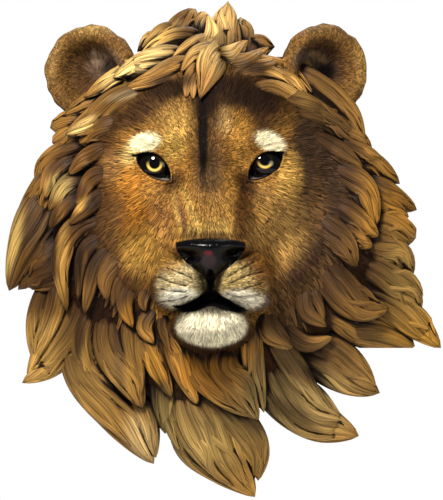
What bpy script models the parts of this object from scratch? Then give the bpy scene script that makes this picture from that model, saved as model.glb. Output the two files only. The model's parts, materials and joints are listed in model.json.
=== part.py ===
"""Lion head wall sculpture: a painted, hollow-cast resin head and mane, modelled as one solid.

Metres, +Z up. The wall is the plane y = 0, the flat back lies on it, and the lion looks along -Y.
The origin is on the flat back, behind the forehead, just under the keyhole that takes the wall screw.
"""

import math
from collections import namedtuple

import bmesh
import bpy
import numpy as np
from mathutils import Matrix, Vector

# Driving sizes, in metres
HEAD_HEIGHT = 0.406             # tip of the crest to the tip of the lowest lock
KEYHOLE_ENTRY_DIAMETER = 0.011  # lets the head of the wall screw in
KEYHOLE_SLOT_WIDTH = 0.0055     # lets the shank of the screw slide up
KEYHOLE_POCKET_WIDTH = 0.0104   # room for the head of the screw behind the lip
KEYHOLE_TRAVEL = 0.016          # from the entry's centre up to the slot's end
KEYHOLE_LIP = 0.0035            # thickness of the resin that the screw's head hooks behind
KEYHOLE_DEPTH = 0.011           # from the flat back to the bottom of the entry
KEYHOLE_POCKET_DEPTH = 0.0106   # from the flat back to the bottom of the pocket
KEYHOLE_ABOVE_ORIGIN = 0.012    # from the origin up to the entry's centre
BACK_OVERCUT = 0.01             # how far the cutters run out past the flat back

# The front is squared up on a grid, as a sculptor squares up a drawing. One unit is a share of the
# height. "across" is to the viewer's right of the origin, "up" is above it, "out" is from the wall.
# The grid is laid over the head as seen from VIEW_DISTANCE, so what stands out is drawn in a little.
GRID_UNITS_HIGH = 495.0
UNIT = HEAD_HEIGHT / GRID_UNITS_HIGH
VIEW_DISTANCE = 3.0
VIEW_CENTRE = (13.5, -100.0)

# Faceting of the solid
HEAD_CELLS = 28                 # the head's relief has this many cells each way
FINE_SPOTS = ((-56, -16, 27), (59, -15, 27), (3, -127, 47))  # halved round the eyes and the muzzle
HEAD_RELAX_STEPS = 8
BROAD_LOCK = 44                 # a lock at least this wide, in grid units, may keep three ridges, not two
LOCK_BACK_STEPS = 2             # facets across the back of a lock
LOCK_STEP = 30.0                # grid units of a lock's length for each ring of points
LOCK_RINGS = (3, 6)             # fewest and most rings on one lock
EAR_SIDES = 14
EAR_RINGS = 10
EYE_SIDES = 12
EYE_RINGS = 8


def place(across, up, out):
    """A point of the grid, in metres."""
    draw_in = 1 - out * UNIT / VIEW_DISTANCE
    x = VIEW_CENTRE[0] + (across - VIEW_CENTRE[0]) * draw_in
    z = VIEW_CENTRE[1] + (up - VIEW_CENTRE[1]) * draw_in
    return (x * UNIT, -out * UNIT, z * UNIT)


def soft_max(a, b, blend):
    """The larger of two heights, rounded over where they are within blend of each other."""
    near = np.maximum(blend - np.abs(a - b), 0.0) / blend
    return np.maximum(a, b) + near * near * blend * 0.25


def ease(x, low, high):
    """0 below low, 1 above high, and smooth between them."""
    t = np.clip((x - low) / (high - low), 0.0, 1.0)
    return t * t * (3 - 2 * t)


def glide(x, at, value):
    """A smooth curve through the values given at rising places."""
    at, value = np.array(at, float), np.array(value, float)
    slope = np.gradient(value, at)
    i = np.clip(np.searchsorted(at, x) - 1, 0, len(at) - 2)
    h = at[i + 1] - at[i]
    t = np.clip((x - at[i]) / h, 0.0, 1.0)
    start = (1 + 2 * t) * (1 - t) ** 2 * value[i] + t * (1 - t) ** 2 * h * slope[i]
    return start + t * t * (3 - 2 * t) * value[i + 1] + t * t * (t - 1) * h * slope[i + 1]


# The mane's dome: how far the silhouette and the flat back reach from the dome's centre, by clock
# angle counted from the viewer's right, and how far the dome stands out from the wall.
DOME_CENTRE = (0.0, -30.0)
SILHOUETTE_REACH = {0: 192, 30: 172, 60: 165, 90: 176, 120: 165, 150: 176,
                    180: 186, 210: 226, 240: 258, 270: 308, 300: 272, 330: 256}
BACK_REACH = {0: 172, 30: 156, 60: 138, 90: 148, 120: 136, 150: 152,
              180: 160, 210: 186, 240: 212, 270: 244, 300: 212, 330: 206}
DOME_OUT = 112.0
DOME_EDGE_OUT = 15.0
SHEET_CENTRE = (2.0, -78.0)


def reach_at(table, angle):
    """A reach read from a table by angle in radians, smooth all the way round."""
    clock = np.array(sorted(table))
    reach = [table[c] for c in clock]
    at = np.concatenate([clock[-2:] - 360, clock, clock[:2] + 360])
    return glide(np.degrees(angle) % 360.0, at, reach[-2:] + reach + reach[:2])


def dome_out(across, up):
    """The mane's dome, before its locks are laid on."""
    du, dv = across - DOME_CENTRE[0], up - DOME_CENTRE[1]
    share = np.hypot(du, dv) / reach_at(SILHOUETTE_REACH, np.arctan2(dv, du))
    cone = (1 - np.clip(share, 0, 1) ** 1.7) ** 0.9
    return DOME_EDGE_OUT + (DOME_OUT - DOME_EDGE_OUT) * cone


# The face. A mound is a rounded block of clay, and a swell is a soft push or hollow.
Mound = namedtuple("Mound", "across up half_wide half_high foot rise square blend")
FACE_AXIS = 2.5
SKULL = Mound(1, -20, 122, 128, 36, 97, 2.0, 20)
MUZZLE = Mound(3, -106, 60, 58, 84, 84, 2.2, 26)
PADS = (Mound(-27, -130, 26, 29, 126, 63, 2.6, 4), Mound(33, -129, 28, 31, 126, 63, 2.6, 4))
CHIN = Mound(3.5, -173, 39, 25, 100, 74, 2.5, 5)
Swell = namedtuple("Swell", "across up spread_wide spread_high push")
PAIRED_SWELLS = (
    Swell(38, 14, 20, 14, 8),       # brow
    Swell(68, 12, 20, 15, 7),       # outer brow
    Swell(55, -14, 22, 14, -12),    # eye socket
    Swell(35, -34, 10, 14, -8),     # hollow between the eye and the bridge
    Swell(78, -46, 24, 22, 9),      # cheek bone
    Swell(68, -92, 15, 20, -7),     # hollow behind the muzzle
    Swell(76, -128, 18, 22, 7),     # jowl
    Swell(24, 34, 18, 24, 4),       # forehead
)
FOREHEAD_FURROW = Swell(-5, 36, 5, 36, -5)
# The bridge of the nose, by height: how far out its flat is, and half its width.
BRIDGE_UP = (-92.0, -75.0, -55.0, -30.0, -5.0, 18.0, 45.0)
BRIDGE_OUT = (187.0, 179.0, 167.0, 154.0, 143.0, 131.0, 112.0)
BRIDGE_HALF_WIDE = (34.0, 33.0, 28.0, 21.0, 17.0, 22.0, 34.0)
BRIDGE_BLEND = 16.0
# The nose leather, its nostrils, the groove below it and the mouth.
NOSE_TOP, NOSE_TIP, NOSE_FOOT = -88.0, -97.0, -126.0
NOSE_HALF_WIDE, NOSE_FOOT_HALF_WIDE = 35.0, 6.0
NOSE_TAPER = 1.6
NOSE_OUT = 198.0
NOSE_BLEND = 6.0
NOSTRILS = ((-18.5, -106.0, 1), (25.0, -105.0, -1))
GROOVE_TOP, GROOVE_FOOT = -117.0, -146.0
MOUTH_ACROSS = (-60.0, -47.0, -30.0, -12.0, 2.5, 18.0, 42.0, 57.0, 70.0)
MOUTH_UP = (-140.0, -148.0, -157.0, -151.0, -144.0, -151.0, -160.0, -150.0, -142.0)
MOUTH_DEPTH = 20.0
MOUTH_HALF_WIDE = 44.0
MOUTH_DEEP_HALF_WIDE = 33.0
UNDER_LIP_OUT = 140.0
UNDER_LIP_FOOT, UNDER_LIP_END = -196.0, -205.0
FRONT_OF_MOUTH_OUT = 158.0
# The eyes: middle of the slit, middle of the ball, and which side; the slit slopes down inwards.
Eye = namedtuple("Eye", "across up ball_across ball_up side")
EYES = (Eye(-56, -16.5, -52, -15.0, -1), Eye(59, -15.5, 55, -14.0, 1))
EYE_TILT = math.radians(37)
EYE_OUTER_LONG, EYE_INNER_LONG = 18.5, 22.0
LID_UP, LID_DOWN = 11.5, 8.0
EYE_BALL_RADIUS = 22.0
EYE_BALL_OUT = 120.0
EYE_SEAT_DEPTH = 7.0


def mound_out(m, across, up):
    r = (np.abs(across - m.across) / m.half_wide) ** m.square
    r = r + (np.abs(up - m.up) / m.half_high) ** m.square
    return m.foot + m.rise * np.sqrt(np.clip(1 - r, 0, 1)) - 60.0 * np.maximum(r - 1, 0)


def swell_out(s, across, up):
    return s.push * np.exp(-((across - s.across) / s.spread_wide) ** 2
                           - ((up - s.up) / s.spread_high) ** 2)


def scalp_out(across, up):
    """The mane's dome with the skull under it, which the locks lie on."""
    return soft_max(dome_out(across, up), mound_out(SKULL, across, up), SKULL.blend)


def bridge_out(across, up):
    """The broad flat bridge of the nose, with its sloping sides."""
    out = glide(up, BRIDGE_UP, BRIDGE_OUT)
    half = glide(up, BRIDGE_UP, BRIDGE_HALF_WIDE)
    past = np.maximum(np.abs(across - FACE_AXIS) - half * 0.62, 0.0)
    side = 1.7 * past * past / (past + 12.0) + 0.035 * past ** 2
    above, below = np.maximum(up - 20.0, 0.0), np.maximum(BRIDGE_UP[0] - up, 0.0)
    return out - side - 0.25 * below ** 2 - 0.02 * above ** 2


def nose_out(across, up):
    """The nose leather: broad above, narrow below, with rounded wings."""
    low = np.clip((NOSE_TIP - up) / (NOSE_TIP - NOSE_FOOT), 0, 1)
    half = NOSE_HALF_WIDE + (NOSE_FOOT_HALF_WIDE - NOSE_HALF_WIDE) * low ** NOSE_TAPER
    away = np.abs(across - FACE_AXIS)
    above = np.maximum(up - NOSE_TOP + 5.0 * (away / NOSE_HALF_WIDE) ** 2, 0.0)
    crown = NOSE_OUT - 15.0 * low ** 1.6 - 0.11 * np.maximum(up - NOSE_TIP, 0) ** 2
    fall = 15.0 * (away / half) ** 2.4 + 3.0 * np.maximum(away - half, 0) + 4.0 * above
    return crown - fall - 5.0 * np.maximum(NOSE_FOOT - up, 0)


def slit_place(across, up, eye):
    """A point's place along and above an eye's slit, with the outer corner at the far end."""
    du, dv = (across - eye.across) * eye.side, up - eye.up
    along = du * math.cos(EYE_TILT) + dv * math.sin(EYE_TILT)
    return along, -du * math.sin(EYE_TILT) + dv * math.cos(EYE_TILT)


def past_lid(across, up, eye):
    """Distance outside the edge of an eye's lids, negative inside the slit."""
    along, above = slit_place(across, up, eye)
    end = np.abs(along) / np.where(along > 0, EYE_OUTER_LONG, EYE_INNER_LONG)
    lid = np.where(above > 0, LID_UP, LID_DOWN) * np.clip(1 - end ** 2, 0, 1) ** 0.75
    return np.abs(above) - lid + 26.0 * np.maximum(end - 1, 0)


def head_out(across, up):
    """How far the head stands out from the wall, face and mane dome together."""
    out = soft_max(scalp_out(across, up), bridge_out(across, up), BRIDGE_BLEND)
    for s in PAIRED_SWELLS:
        for side in (-1, 1):
            out = out + swell_out(s._replace(across=FACE_AXIS + side * s.across), across, up)
    out = out + swell_out(FOREHEAD_FURROW, across, up)
    for eye in EYES:
        past = past_lid(across, up, eye)
        lids = np.exp(-((past - 2.6) / 2.6) ** 2)
        out = out + 3.0 * lids - EYE_SEAT_DEPTH * ease(-past, -1.2, 1.2)
    out = soft_max(out, mound_out(MUZZLE, across, up), MUZZLE.blend)
    for pad in PADS:
        out = soft_max(out, mound_out(pad, across, up), pad.blend)
    out = soft_max(out, nose_out(across, up), NOSE_BLEND)
    for u, v, side in NOSTRILS:
        out = out - 14.0 * np.exp(-((across - u) / 9.0) ** 2 - ((up - v) / 5.5) ** 2)
        out = out - 7.0 * np.exp(-((across - u + side * 8) / 6.0) ** 2 - ((up - v - 4) / 3.0) ** 2)
    groove = np.exp(-((across - FACE_AXIS) / 2.6) ** 2) * ease(up, GROOVE_FOOT, GROOVE_FOOT + 6)
    out = out - 12.0 * groove * (1 - ease(up, NOSE_FOOT, GROOVE_TOP))
    lips = up - glide(across, MOUTH_ACROSS, MOUTH_UP)
    inside = 1 - ease(np.abs(across - FACE_AXIS), MOUTH_DEEP_HALF_WIDE, MOUTH_HALF_WIDE)
    drop = np.maximum(out - UNDER_LIP_OUT, 0)
    out = out - drop * inside * ease(-lips, -2.0, 4.0) * ease(up, UNDER_LIP_END, UNDER_LIP_FOOT)
    out = soft_max(out, mound_out(CHIN, across, up), CHIN.blend)
    slot = inside * np.exp(-(lips / 3.4) ** 2)
    return out - MOUTH_DEPTH * slot * ease(out, UNDER_LIP_OUT, FRONT_OF_MOUTH_OUT)


def relax(grid, steps):
    """Slides the points over the relief until they are evenly spaced on its slopes."""
    for _ in range(steps):
        own = grid[1:-1, 1:-1]
        pull, weight = 0.0, 1e-9
        for near in (grid[:-2, 1:-1], grid[2:, 1:-1], grid[1:-1, :-2], grid[1:-1, 2:]):
            length = np.linalg.norm(near - own, axis=2, keepdims=True)
            pull, weight = pull + near * length, weight + length
        flat = own[:, :, :2] * 0.5 + (pull / weight)[:, :, :2] * 0.5
        grid[1:-1, 1:-1] = np.dstack([flat, head_out(flat[:, :, 0], flat[:, :, 1])])
    return grid


def halve_cells(bm, spots):
    """Halves the relief's cells within a radius of each spot, and lays the new points on the relief."""
    def inside(v):
        return any(math.hypot(v.co.x - u, v.co.y - w) < radius for u, w, radius in spots)

    near = [e for e in bm.edges if inside(e.verts[0]) and inside(e.verts[1])]
    made = bmesh.ops.subdivide_edges(bm, edges=near, cuts=1, use_grid_fill=True)["geom_inner"]
    for v in (g for g in made if isinstance(g, bmesh.types.BMVert)):
        v.co.z = head_out(v.co.x, v.co.y)
    bmesh.ops.triangulate(bm, faces=[f for f in bm.faces if len(f.verts) > 4])


def head_mesh(cells, relax_steps, spots):
    """The head and the mane's dome as one closed block with a flat back."""
    bm = bmesh.new()
    bmesh.ops.create_grid(bm, x_segments=cells, y_segments=cells, size=1.0)
    steps = np.array([v.co[:2] for v in bm.verts]).round(6)
    order = np.lexsort((steps[:, 0], steps[:, 1]))
    x, y = steps[order].T.reshape(2, cells + 1, cells + 1)
    # The square sheet is spread over the flat back's outline, with the smallest cells on the face.
    ring = np.maximum(np.abs(x), np.abs(y))
    angle = np.arctan2(y, x)
    reach = reach_at(BACK_REACH, angle)
    share = 0.5 * ring + 0.5 * ring ** 2.2
    across = SHEET_CENTRE[0] + share * (DOME_CENTRE[0] + reach * np.cos(angle) - SHEET_CENTRE[0])
    up = SHEET_CENTRE[1] + share * (DOME_CENTRE[1] + reach * np.sin(angle) - SHEET_CENTRE[1])
    grid = relax(np.dstack([across, up, head_out(across, up)]), relax_steps)
    # The dome rolls over towards the wall at its edge.
    grid[:, :, 2] *= 1 - 0.45 * ease(ring, 0.93, 1.0)
    bm.verts.ensure_lookup_table()
    for index, point in zip(order, grid.reshape(-1, 3)):
        bm.verts[index].co = point
    halve_cells(bm, spots)
    rim = [e for e in bm.edges if e.is_boundary]
    skirt = bmesh.ops.extrude_edge_only(bm, edges=rim)["geom"]
    for v in (g for g in skirt if isinstance(g, bmesh.types.BMVert)):
        v.co.z = -BACK_OVERCUT / 2 / UNIT
    bmesh.ops.contextual_create(bm, geom=[e for e in bm.edges if e.is_boundary])
    bmesh.ops.triangulate(bm, faces=[f for f in bm.faces if len(f.verts) > 4])
    return to_metres(bm)


def to_metres(bm):
    """Takes a form from the grid to metres, and turns its faces outwards."""
    for v in bm.verts:
        v.co = place(*v.co)
    bmesh.ops.recalc_face_normals(bm, faces=bm.faces)
    if bm.calc_volume(signed=True) < 0:
        bmesh.ops.reverse_faces(bm, faces=bm.faces)
    return bm


# The locks. Each follows a path of hand-chosen points on the grid from root to tip, lies on the scalp
# and is lifted off it, at its root and at its tip. Ridges are the combed strands it is made of, and
# the solid keeps two or three at most. Thick is its thickness over its width, blunt shapes the tip.
Lock = namedtuple("Lock", "name path width lift ridges thick blunt", defaults=(0.36, 0.72))
BOTTOM_LOCKS = (
    Lock("left_drop_outer", ((-156, -125), (-170, -170), (-174, -213)), 25, (0, 4), 2),
    Lock("left_drop_middle", ((-142, -120), (-156, -175), (-181, -229)), 27, (2, 7), 3),
    Lock("left_drop_inner", ((-120, -135), (-134, -183), (-156, -214), (-186, -233)), 32, (2, 8), 3),
    Lock("lower_left_flame", ((-112, -150), (-119, -211), (-90, -261), (-54, -314)), 58, (0, 4), 6),
    Lock("lower_left_edge", ((-82, -232), (-61, -268), (-52, -308)), 23, (3, 5), 2),
    Lock("gap_strand_left", ((-52, -200), (-44, -245), (-43, -284)), 30, (-6, -2), 3),
    Lock("gap_strand_right", ((-36, -225), (-34, -268), (-22, -308)), 26, (-4, 0), 3),
    Lock("lowest_flame", ((-18, -212), (-8, -262), (14, -302), (47, -347)), 63, (0, 6), 6),
    Lock("lowest_flame_edge", ((-36, -258), (-22, -299), (9, -324), (46, -347)), 22, (0, 3), 2),
    Lock("lowest_right_ridge", ((12, -242), (39, -276), (51, -302), (50, -331)), 27, (3, 7), 3),
    Lock("lowest_inner_ridge", ((-8, -232), (22, -272), (46, -304), (47, -328)), 24, (6, 9), 2),
    Lock("throat_flow_left", ((-18, -192), (-9, -222), (19, -248), (44, -267)), 28, (6, 12), 3),
    Lock("throat_flow_middle", ((17, -188), (15, -217), (31, -242), (51, -270)), 40, (8, 12), 4),
    Lock("throat_flow_right", ((45, -162), (44, -206), (56, -263)), 26, (3, 7), 3),
    Lock("right_long_flame", ((46, -187), (71, -234), (108, -269), (151, -286)), 56, (0, 6), 6),
    Lock("right_long_fold", ((54, -170), (81, -209), (101, -241), (129, -270)), 27, (8, 10), 3),
    Lock("right_low_flame", ((75, -191), (113, -212), (143, -230), (172, -243)), 40, (0, 6), 4),
    Lock("right_low_fold", ((100, -184), (130, -199), (151, -217), (168, -239)), 25, (5, 8), 2),
    Lock("flat_cut_lock", ((115, -165), (157, -181), (207, -196)), 36, (0, 3), 3, 0.36, 0.5),
    Lock("right_tip_lock", ((137, -138), (176, -154), (208, -175), (233, -198)), 37, (3, 8), 4),
)
FLAT_CUT = ("flat_cut_lock", -198.0)
RIGHT_LOCKS = (
    Lock("right_outer_low", ((140, -112), (174, -128), (197, -141), (214, -158)), 38, (4, 8), 4),
    Lock("right_outer_bend", ((142, -86), (172, -97), (193, -106), (205, -126)), 32, (4, 5), 3),
    Lock("right_outer_blunt", ((150, -70), (180, -77), (208, -88)), 34, (5, 8), 4, 0.36, 0.45),
    Lock("right_outer_under", ((150, -45), (177, -57), (201, -67)), 26, (4, 6), 3),
    Lock("right_outer_spike", ((155, -28), (181, -46), (209, -60)), 28, (4, 9), 3),
    Lock("right_shoulder_low", ((135, 2), (167, -15), (192, -34)), 24, (3, 7), 3),
    Lock("right_shoulder_mid", ((120, 10), (152, -2), (178, -14)), 22, (5, 9), 3),
    Lock("right_shoulder_high", ((115, 30), (142, 17), (164, 3)), 22, (6, 9), 3),
    Lock("right_ear_sweep", ((66, 88), (103, 66), (138, 40), (157, 8)), 30, (8, 14), 3),
    Lock("right_brow_tuft", ((52, 74), (80, 67), (101, 48)), 24, (2, 11), 4),
    Lock("right_brow_sweep", ((66, 56), (102, 43), (147, 17)), 24, (2, 13), 3),
    Lock("right_brow_under", ((77, 40), (117, 28), (145, 8)), 22, (0, 9), 3),
    Lock("right_temple_sweep", ((94, 14), (127, 0), (156, -20)), 24, (-2, 8), 3),
    Lock("right_curl_high", ((115, -14), (153, -38), (169, -76)), 32, (2, 14), 4),
    Lock("right_curl_mid", ((120, -48), (150, -71), (171, -87)), 26, (4, 12), 3),
    Lock("right_curl_low", ((125, -72), (147, -88), (165, -97)), 22, (3, 9), 2),
    Lock("right_cheek_tuft", ((102, -64), (132, -90), (149, -117)), 30, (2, 13), 4),
    Lock("right_cheek_curl", ((108, -96), (128, -135), (153, -156), (181, -159)), 40, (2, 16), 4),
    Lock("right_small_curl", ((92, -130), (98, -161), (119, -177)), 19, (2, 11), 2),
    Lock("right_small_twin", ((104, -133), (110, -154), (116, -172)), 13, (2, 9), 1),
    Lock("right_turned_curl", ((70, -170), (96, -193), (126, -187)), 20, (4, 10), 2),
    Lock("right_throat_lock", ((46, -152), (62, -180), (85, -199)), 28, (0, 8), 3),
    Lock("right_under_strand", ((106, -146), (136, -174), (158, -196)), 28, (-3, 2), 3),
)
LEFT_LOCKS = (
    Lock("left_outer_flame", ((-144, -34), (-167, -64), (-183, -100), (-199, -141)), 46, (2, 8), 6),
    Lock("left_outer_upper", ((-146, -8), (-167, -36), (-191, -66)), 22, (4, 6), 3),
    Lock("left_outer_under", ((-144, -83), (-164, -111), (-190, -140)), 30, (-4, 0), 3),
    Lock("left_gap_fill", ((-134, -98), (-158, -120), (-181, -137)), 38, (-2, -1), 3),
    Lock("left_temple_drop", ((-106, 13), (-140, 0), (-162, -14), (-173, -31)), 24, (5, 8), 3),
    Lock("left_temple_inner", ((-128, -4), (-153, -25), (-163, -50)), 20, (4, 12), 2),
    Lock("left_side_fill", ((-116, 4), (-147, -25), (-168, -66)), 36, (-3, 2), 4),
    Lock("left_mid_curl", ((-114, -27), (-140, -36), (-160, -62)), 24, (3, 14), 3),
    Lock("left_mid_curl_low", ((-118, -45), (-142, -57), (-159, -80)), 20, (2, 11), 2),
    Lock("left_tuft_high", ((-98, 3), (-120, -7), (-140, -25)), 20, (4, 14), 2),
    Lock("left_tuft_mid", ((-98, -19), (-117, -30), (-132, -56)), 19, (3, 15), 2),
    Lock("left_tuft_low", ((-98, -41), (-119, -55), (-139, -75)), 20, (3, 14), 2),
    Lock("left_long_curl", ((-94, -68), (-131, -78), (-147, -112), (-141, -162)), 25, (3, 14), 4),
    Lock("left_inner_strand", ((-98, -82), (-123, -103), (-130, -151)), 19, (0, 6), 2),
    Lock("left_jaw_strand", ((-88, -90), (-112, -120), (-124, -165)), 20, (0, 10), 2),
    Lock("left_jaw_tuft_a", ((-81, -104), (-101, -125), (-101, -151)), 20, (2, 12), 2),
    Lock("left_jaw_tuft_b", ((-81, -117), (-91, -138), (-95, -157)), 14, (2, 9), 1),
    Lock("left_jaw_tuft_c", ((-68, -124), (-83, -153), (-75, -178)), 19, (2, 13), 2),
    Lock("left_jaw_tuft_d", ((-56, -129), (-64, -148), (-63, -162)), 14, (2, 8), 2),
    Lock("left_throat_tuft", ((-51, -149), (-63, -175), (-54, -194)), 20, (2, 10), 2),
    Lock("left_inner_flame", ((-96, -150), (-95, -196), (-79, -228), (-65, -258)), 40, (5, 12), 4),
    Lock("left_inner_fold", ((-78, -163), (-75, -195), (-64, -240)), 22, (5, 8), 2),
    Lock("left_ridge_fill", ((-116, -150), (-124, -196), (-108, -246)), 28, (3, 4), 3),
    Lock("throat_left_flow", ((-62, -166), (-54, -205), (-36, -248)), 28, (2, 6), 3),
    Lock("throat_centre_flow", ((-42, -168), (-28, -212), (-10, -256)), 27, (2, 6), 3),
    Lock("throat_beside_chin", ((-42, -148), (-39, -180), (-24, -216)), 24, (-3, 5), 3),
)
TOP_LOCKS = (
    Lock("crest_spike", ((13, 84), (17, 117), (20, 149)), 36, (4, 20), 4, 0.4, 0.95),
    Lock("crest_spike_left", ((-4, 96), (4, 115), (0, 136)), 19, (9, 26), 2, 0.34, 0.95),
    Lock("crest_back_tuft", ((-34, 100), (-27, 120), (-12, 141)), 32, (-4, -2), 5, 0.4, 0.65),
    Lock("crest_back_fan", ((-50, 94), (-43, 110), (-29, 128)), 26, (-3, 0), 4, 0.4, 0.65),
    Lock("crest_back_strand", ((-10, 110), (-6, 128), (-4, 139)), 22, (-2, 2), 4, 0.34, 0.95),
    Lock("crest_back_left", ((-40, 100), (-56, 110), (-71, 98)), 22, (2, 2), 3, 0.34, 0.95),
    Lock("crest_back_right", ((26, 102), (34, 118), (32, 133)), 28, (2, 6), 3, 0.34, 0.95),
    Lock("crest_far_right", ((40, 96), (52, 104), (67, 103)), 28, (1, 0), 3, 0.34, 0.95),
    Lock("crest_front_a", ((8, 92), (24, 96), (40, 110)), 21, (7, 26), 3, 0.34, 0.8),
    Lock("crest_front_b", ((16, 86), (40, 88), (61, 103)), 21, (4, 23), 3, 0.34, 0.8),
    Lock("crest_front_c", ((28, 82), (54, 82), (75, 93)), 19, (2, 20), 3, 0.34, 0.8),
    Lock("forelock", ((16, 114), (3, 97), (-4, 76), (-8, 50)), 24, (12, 4), 3, 0.34, 0.95),
    Lock("forelock_right", ((16, 90), (4, 74), (-7, 52)), 18, (10, 4), 2, 0.34, 0.95),
    Lock("forelock_strand", ((-8, 88), (-18, 72), (-22, 51)), 14, (9, 3), 2),
    Lock("forelock_thin", ((-12, 82), (-14, 65), (-15, 50)), 10, (8, 3), 1),
    Lock("crest_left_a", ((5, 111), (-18, 102), (-38, 89)), 20, (17, 10), 2, 0.34, 0.95),
    Lock("crest_left_b", ((10, 102), (-12, 95), (-28, 77)), 20, (13, 8), 2, 0.34, 0.95),
    Lock("crest_left_c", ((-4, 112), (-28, 112), (-52, 102), (-75, 84)), 23, (10, 26), 3, 0.34, 0.8),
    Lock("crest_left_d", ((-28, 120), (-48, 116), (-68, 99)), 20, (6, 12), 2, 0.34, 0.95),
    Lock("crest_left_e", ((-18, 92), (-44, 92), (-70, 85), (-95, 72)), 27, (7, 30), 4, 0.34, 0.8),
    Lock("crest_left_f", ((-46, 80), (-74, 77), (-100, 67), (-125, 52)), 25, (6, 30), 3, 0.34, 0.8),
    Lock("crest_left_g", ((-76, 62), (-112, 50), (-145, 34)), 26, (5, 22), 3, 0.34, 0.8),
    Lock("crest_left_h", ((-106, 42), (-131, 31), (-158, 22)), 25, (8, 12), 3, 0.36, 0.5),
    Lock("crest_left_i", ((-112, 28), (-134, 17), (-156, 7)), 22, (5, 8), 2, 0.36, 0.45),
    Lock("brow_band_left", ((-48, 65), (-90, 48), (-118, 28), (-143, 15)), 30, (1, 20), 4),
    Lock("forehead_left_a", ((2, 78), (-28, 84), (-58, 70), (-82, 62)), 22, (2, 12), 3),
    Lock("forehead_right_sweep", ((16, 78), (46, 85), (80, 78), (106, 54)), 22, (1, 11), 3),
    Lock("forehead_right_a", ((14, 68), (46, 77), (74, 70), (97, 50)), 20, (-1, 8), 3),
    Lock("forehead_right_b", ((34, 54), (60, 62), (86, 54), (108, 38)), 18, (-1, 7), 2),
    Lock("brow_band_under", ((-82, 33), (-108, 18), (-130, 6)), 26, (-2, 8), 3),
)
LOCKS = BOTTOM_LOCKS + RIGHT_LOCKS + LEFT_LOCKS + TOP_LOCKS
RIDGE_SHARE = 0.10     # depth of the grooves between the strands, as a share of the lock's width
BACK_SHARE = 0.9       # thickness of a lock behind its path, as a share of that in front of it
ROOT_SINK = 0.6        # how deep the root is sunk, as a share of the lock's width
ROOT_SLOPE = 2.4       # how soon a lock comes up from its root, higher for sooner
ROOT_SHARE = 0.42      # how slowly a lock widens from its root


def smooth_path(points, t):
    """A smooth curve through a few points, at shares t of its length."""
    p = np.array(points, float)
    p = np.vstack([2 * p[0] - p[1], p, 2 * p[-1] - p[-2]])
    at = np.clip(t, 0, 1) * (len(points) - 1)
    i = np.minimum(at.astype(int), len(points) - 2)
    f = (at - i)[:, None]
    a, b, c, d = p[i], p[i + 1], p[i + 2], p[i + 3]
    return 0.5 * (2 * b + (c - a) * f + (2 * a - 5 * b + 4 * c - d) * f ** 2
                  + (3 * b - a - 3 * c + d) * f ** 3)


def lock_width(lock, t):
    """Half-width of a lock along its length, widest before the middle."""
    full = ROOT_SHARE / (ROOT_SHARE + lock.blunt)
    shape = np.clip(t, 0, 1) ** ROOT_SHARE * np.clip(1 - t, 0, 1) ** lock.blunt
    return lock.width / 2 * shape / (full ** ROOT_SHARE * (1 - full) ** lock.blunt)


def lock_points(lock, t, turn, ridges):
    """Places on a lock's skin, at shares t of its length and angles turn from the middle of its front."""
    path = smooth_path(lock.path, t)
    lift = lock.lift[0] + (lock.lift[1] - lock.lift[0]) * t - ROOT_SINK * lock.width * (1 - t) ** ROOT_SLOPE
    out = np.maximum(scalp_out(path[:, 0], path[:, 1]) + lift, 7.0)
    ahead, behind = smooth_path(lock.path, t + 0.02), smooth_path(lock.path, t - 0.02)
    run = np.column_stack([ahead - behind, scalp_out(*ahead.T) - scalp_out(*behind.T)])
    run /= np.linalg.norm(run, axis=1)[:, None]
    right = np.column_stack([run[:, 1], -run[:, 0], np.zeros(len(t))])
    right /= np.linalg.norm(right, axis=1)[:, None]
    front = np.cross(right, run)
    half = lock_width(lock, t)
    side, height = np.sin(turn), np.cos(turn)
    comb = np.abs(np.sin(math.pi * ridges * np.clip(turn / math.pi + 0.5, 0, 1))) - 0.62
    comb = comb * RIDGE_SHARE * 2 * half * np.clip(np.cos(turn) * 3, 0, 1)
    rise = half * 2 * lock.thick * np.where(height > 0, height, BACK_SHARE * height) + comb
    centre = np.column_stack([path, out])
    return centre + right * (half * side)[:, None] + front * rise[:, None]


def lock_mesh(lock, ridges, front_steps, back_steps, step, rings):
    """A lock as a closed, pointed form, warped from a sphere whose poles become root and tip."""
    length = sum(math.dist(a, b) for a, b in zip(lock.path, lock.path[1:]))
    along = int(min(max(round(length / step), rings[0]), rings[1]))
    sides = front_steps + back_steps
    bm = bmesh.new()
    bmesh.ops.create_uvsphere(bm, u_segments=sides, v_segments=along, radius=1.0)
    ball = np.array([v.co for v in bm.verts])
    t = np.arccos(np.clip(ball[:, 2], -1, 1)) / math.pi
    # The front of the lock has its own share of the facets, so its strands fall on the edges.
    place_round = (np.arctan2(ball[:, 1], ball[:, 0]) / math.tau % 1.0) * sides
    front = (place_round / front_steps - 0.5) * math.pi
    back = ((place_round - front_steps) / back_steps + 0.5) * math.pi
    turn = np.where(place_round <= front_steps + 0.01, front, back)
    for v, point in zip(bm.verts, lock_points(lock, t, turn, ridges)):
        v.co = point
    if lock.name == FLAT_CUT[0]:
        everything = list(bm.verts) + list(bm.edges) + list(bm.faces)
        cut = bmesh.ops.bisect_plane(bm, geom=everything, plane_co=(0, FLAT_CUT[1], 0),
                                     plane_no=(0, -1, 0), clear_outer=True)["geom_cut"]
        bmesh.ops.contextual_create(bm, geom=[g for g in cut if isinstance(g, bmesh.types.BMEdge)])
    return to_metres(bm)


# The ears: round cups with thick rims, turned a little outwards.
Ear = namedtuple("Ear", "name across up half_wide half_high out turn lean")
EARS = (
    Ear("left_ear", -119, 76, 50, 49, 52, math.radians(-20), math.radians(24)),
    Ear("right_ear", 117, 77, 48, 49, 52, math.radians(22), math.radians(-20)),
)
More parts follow.
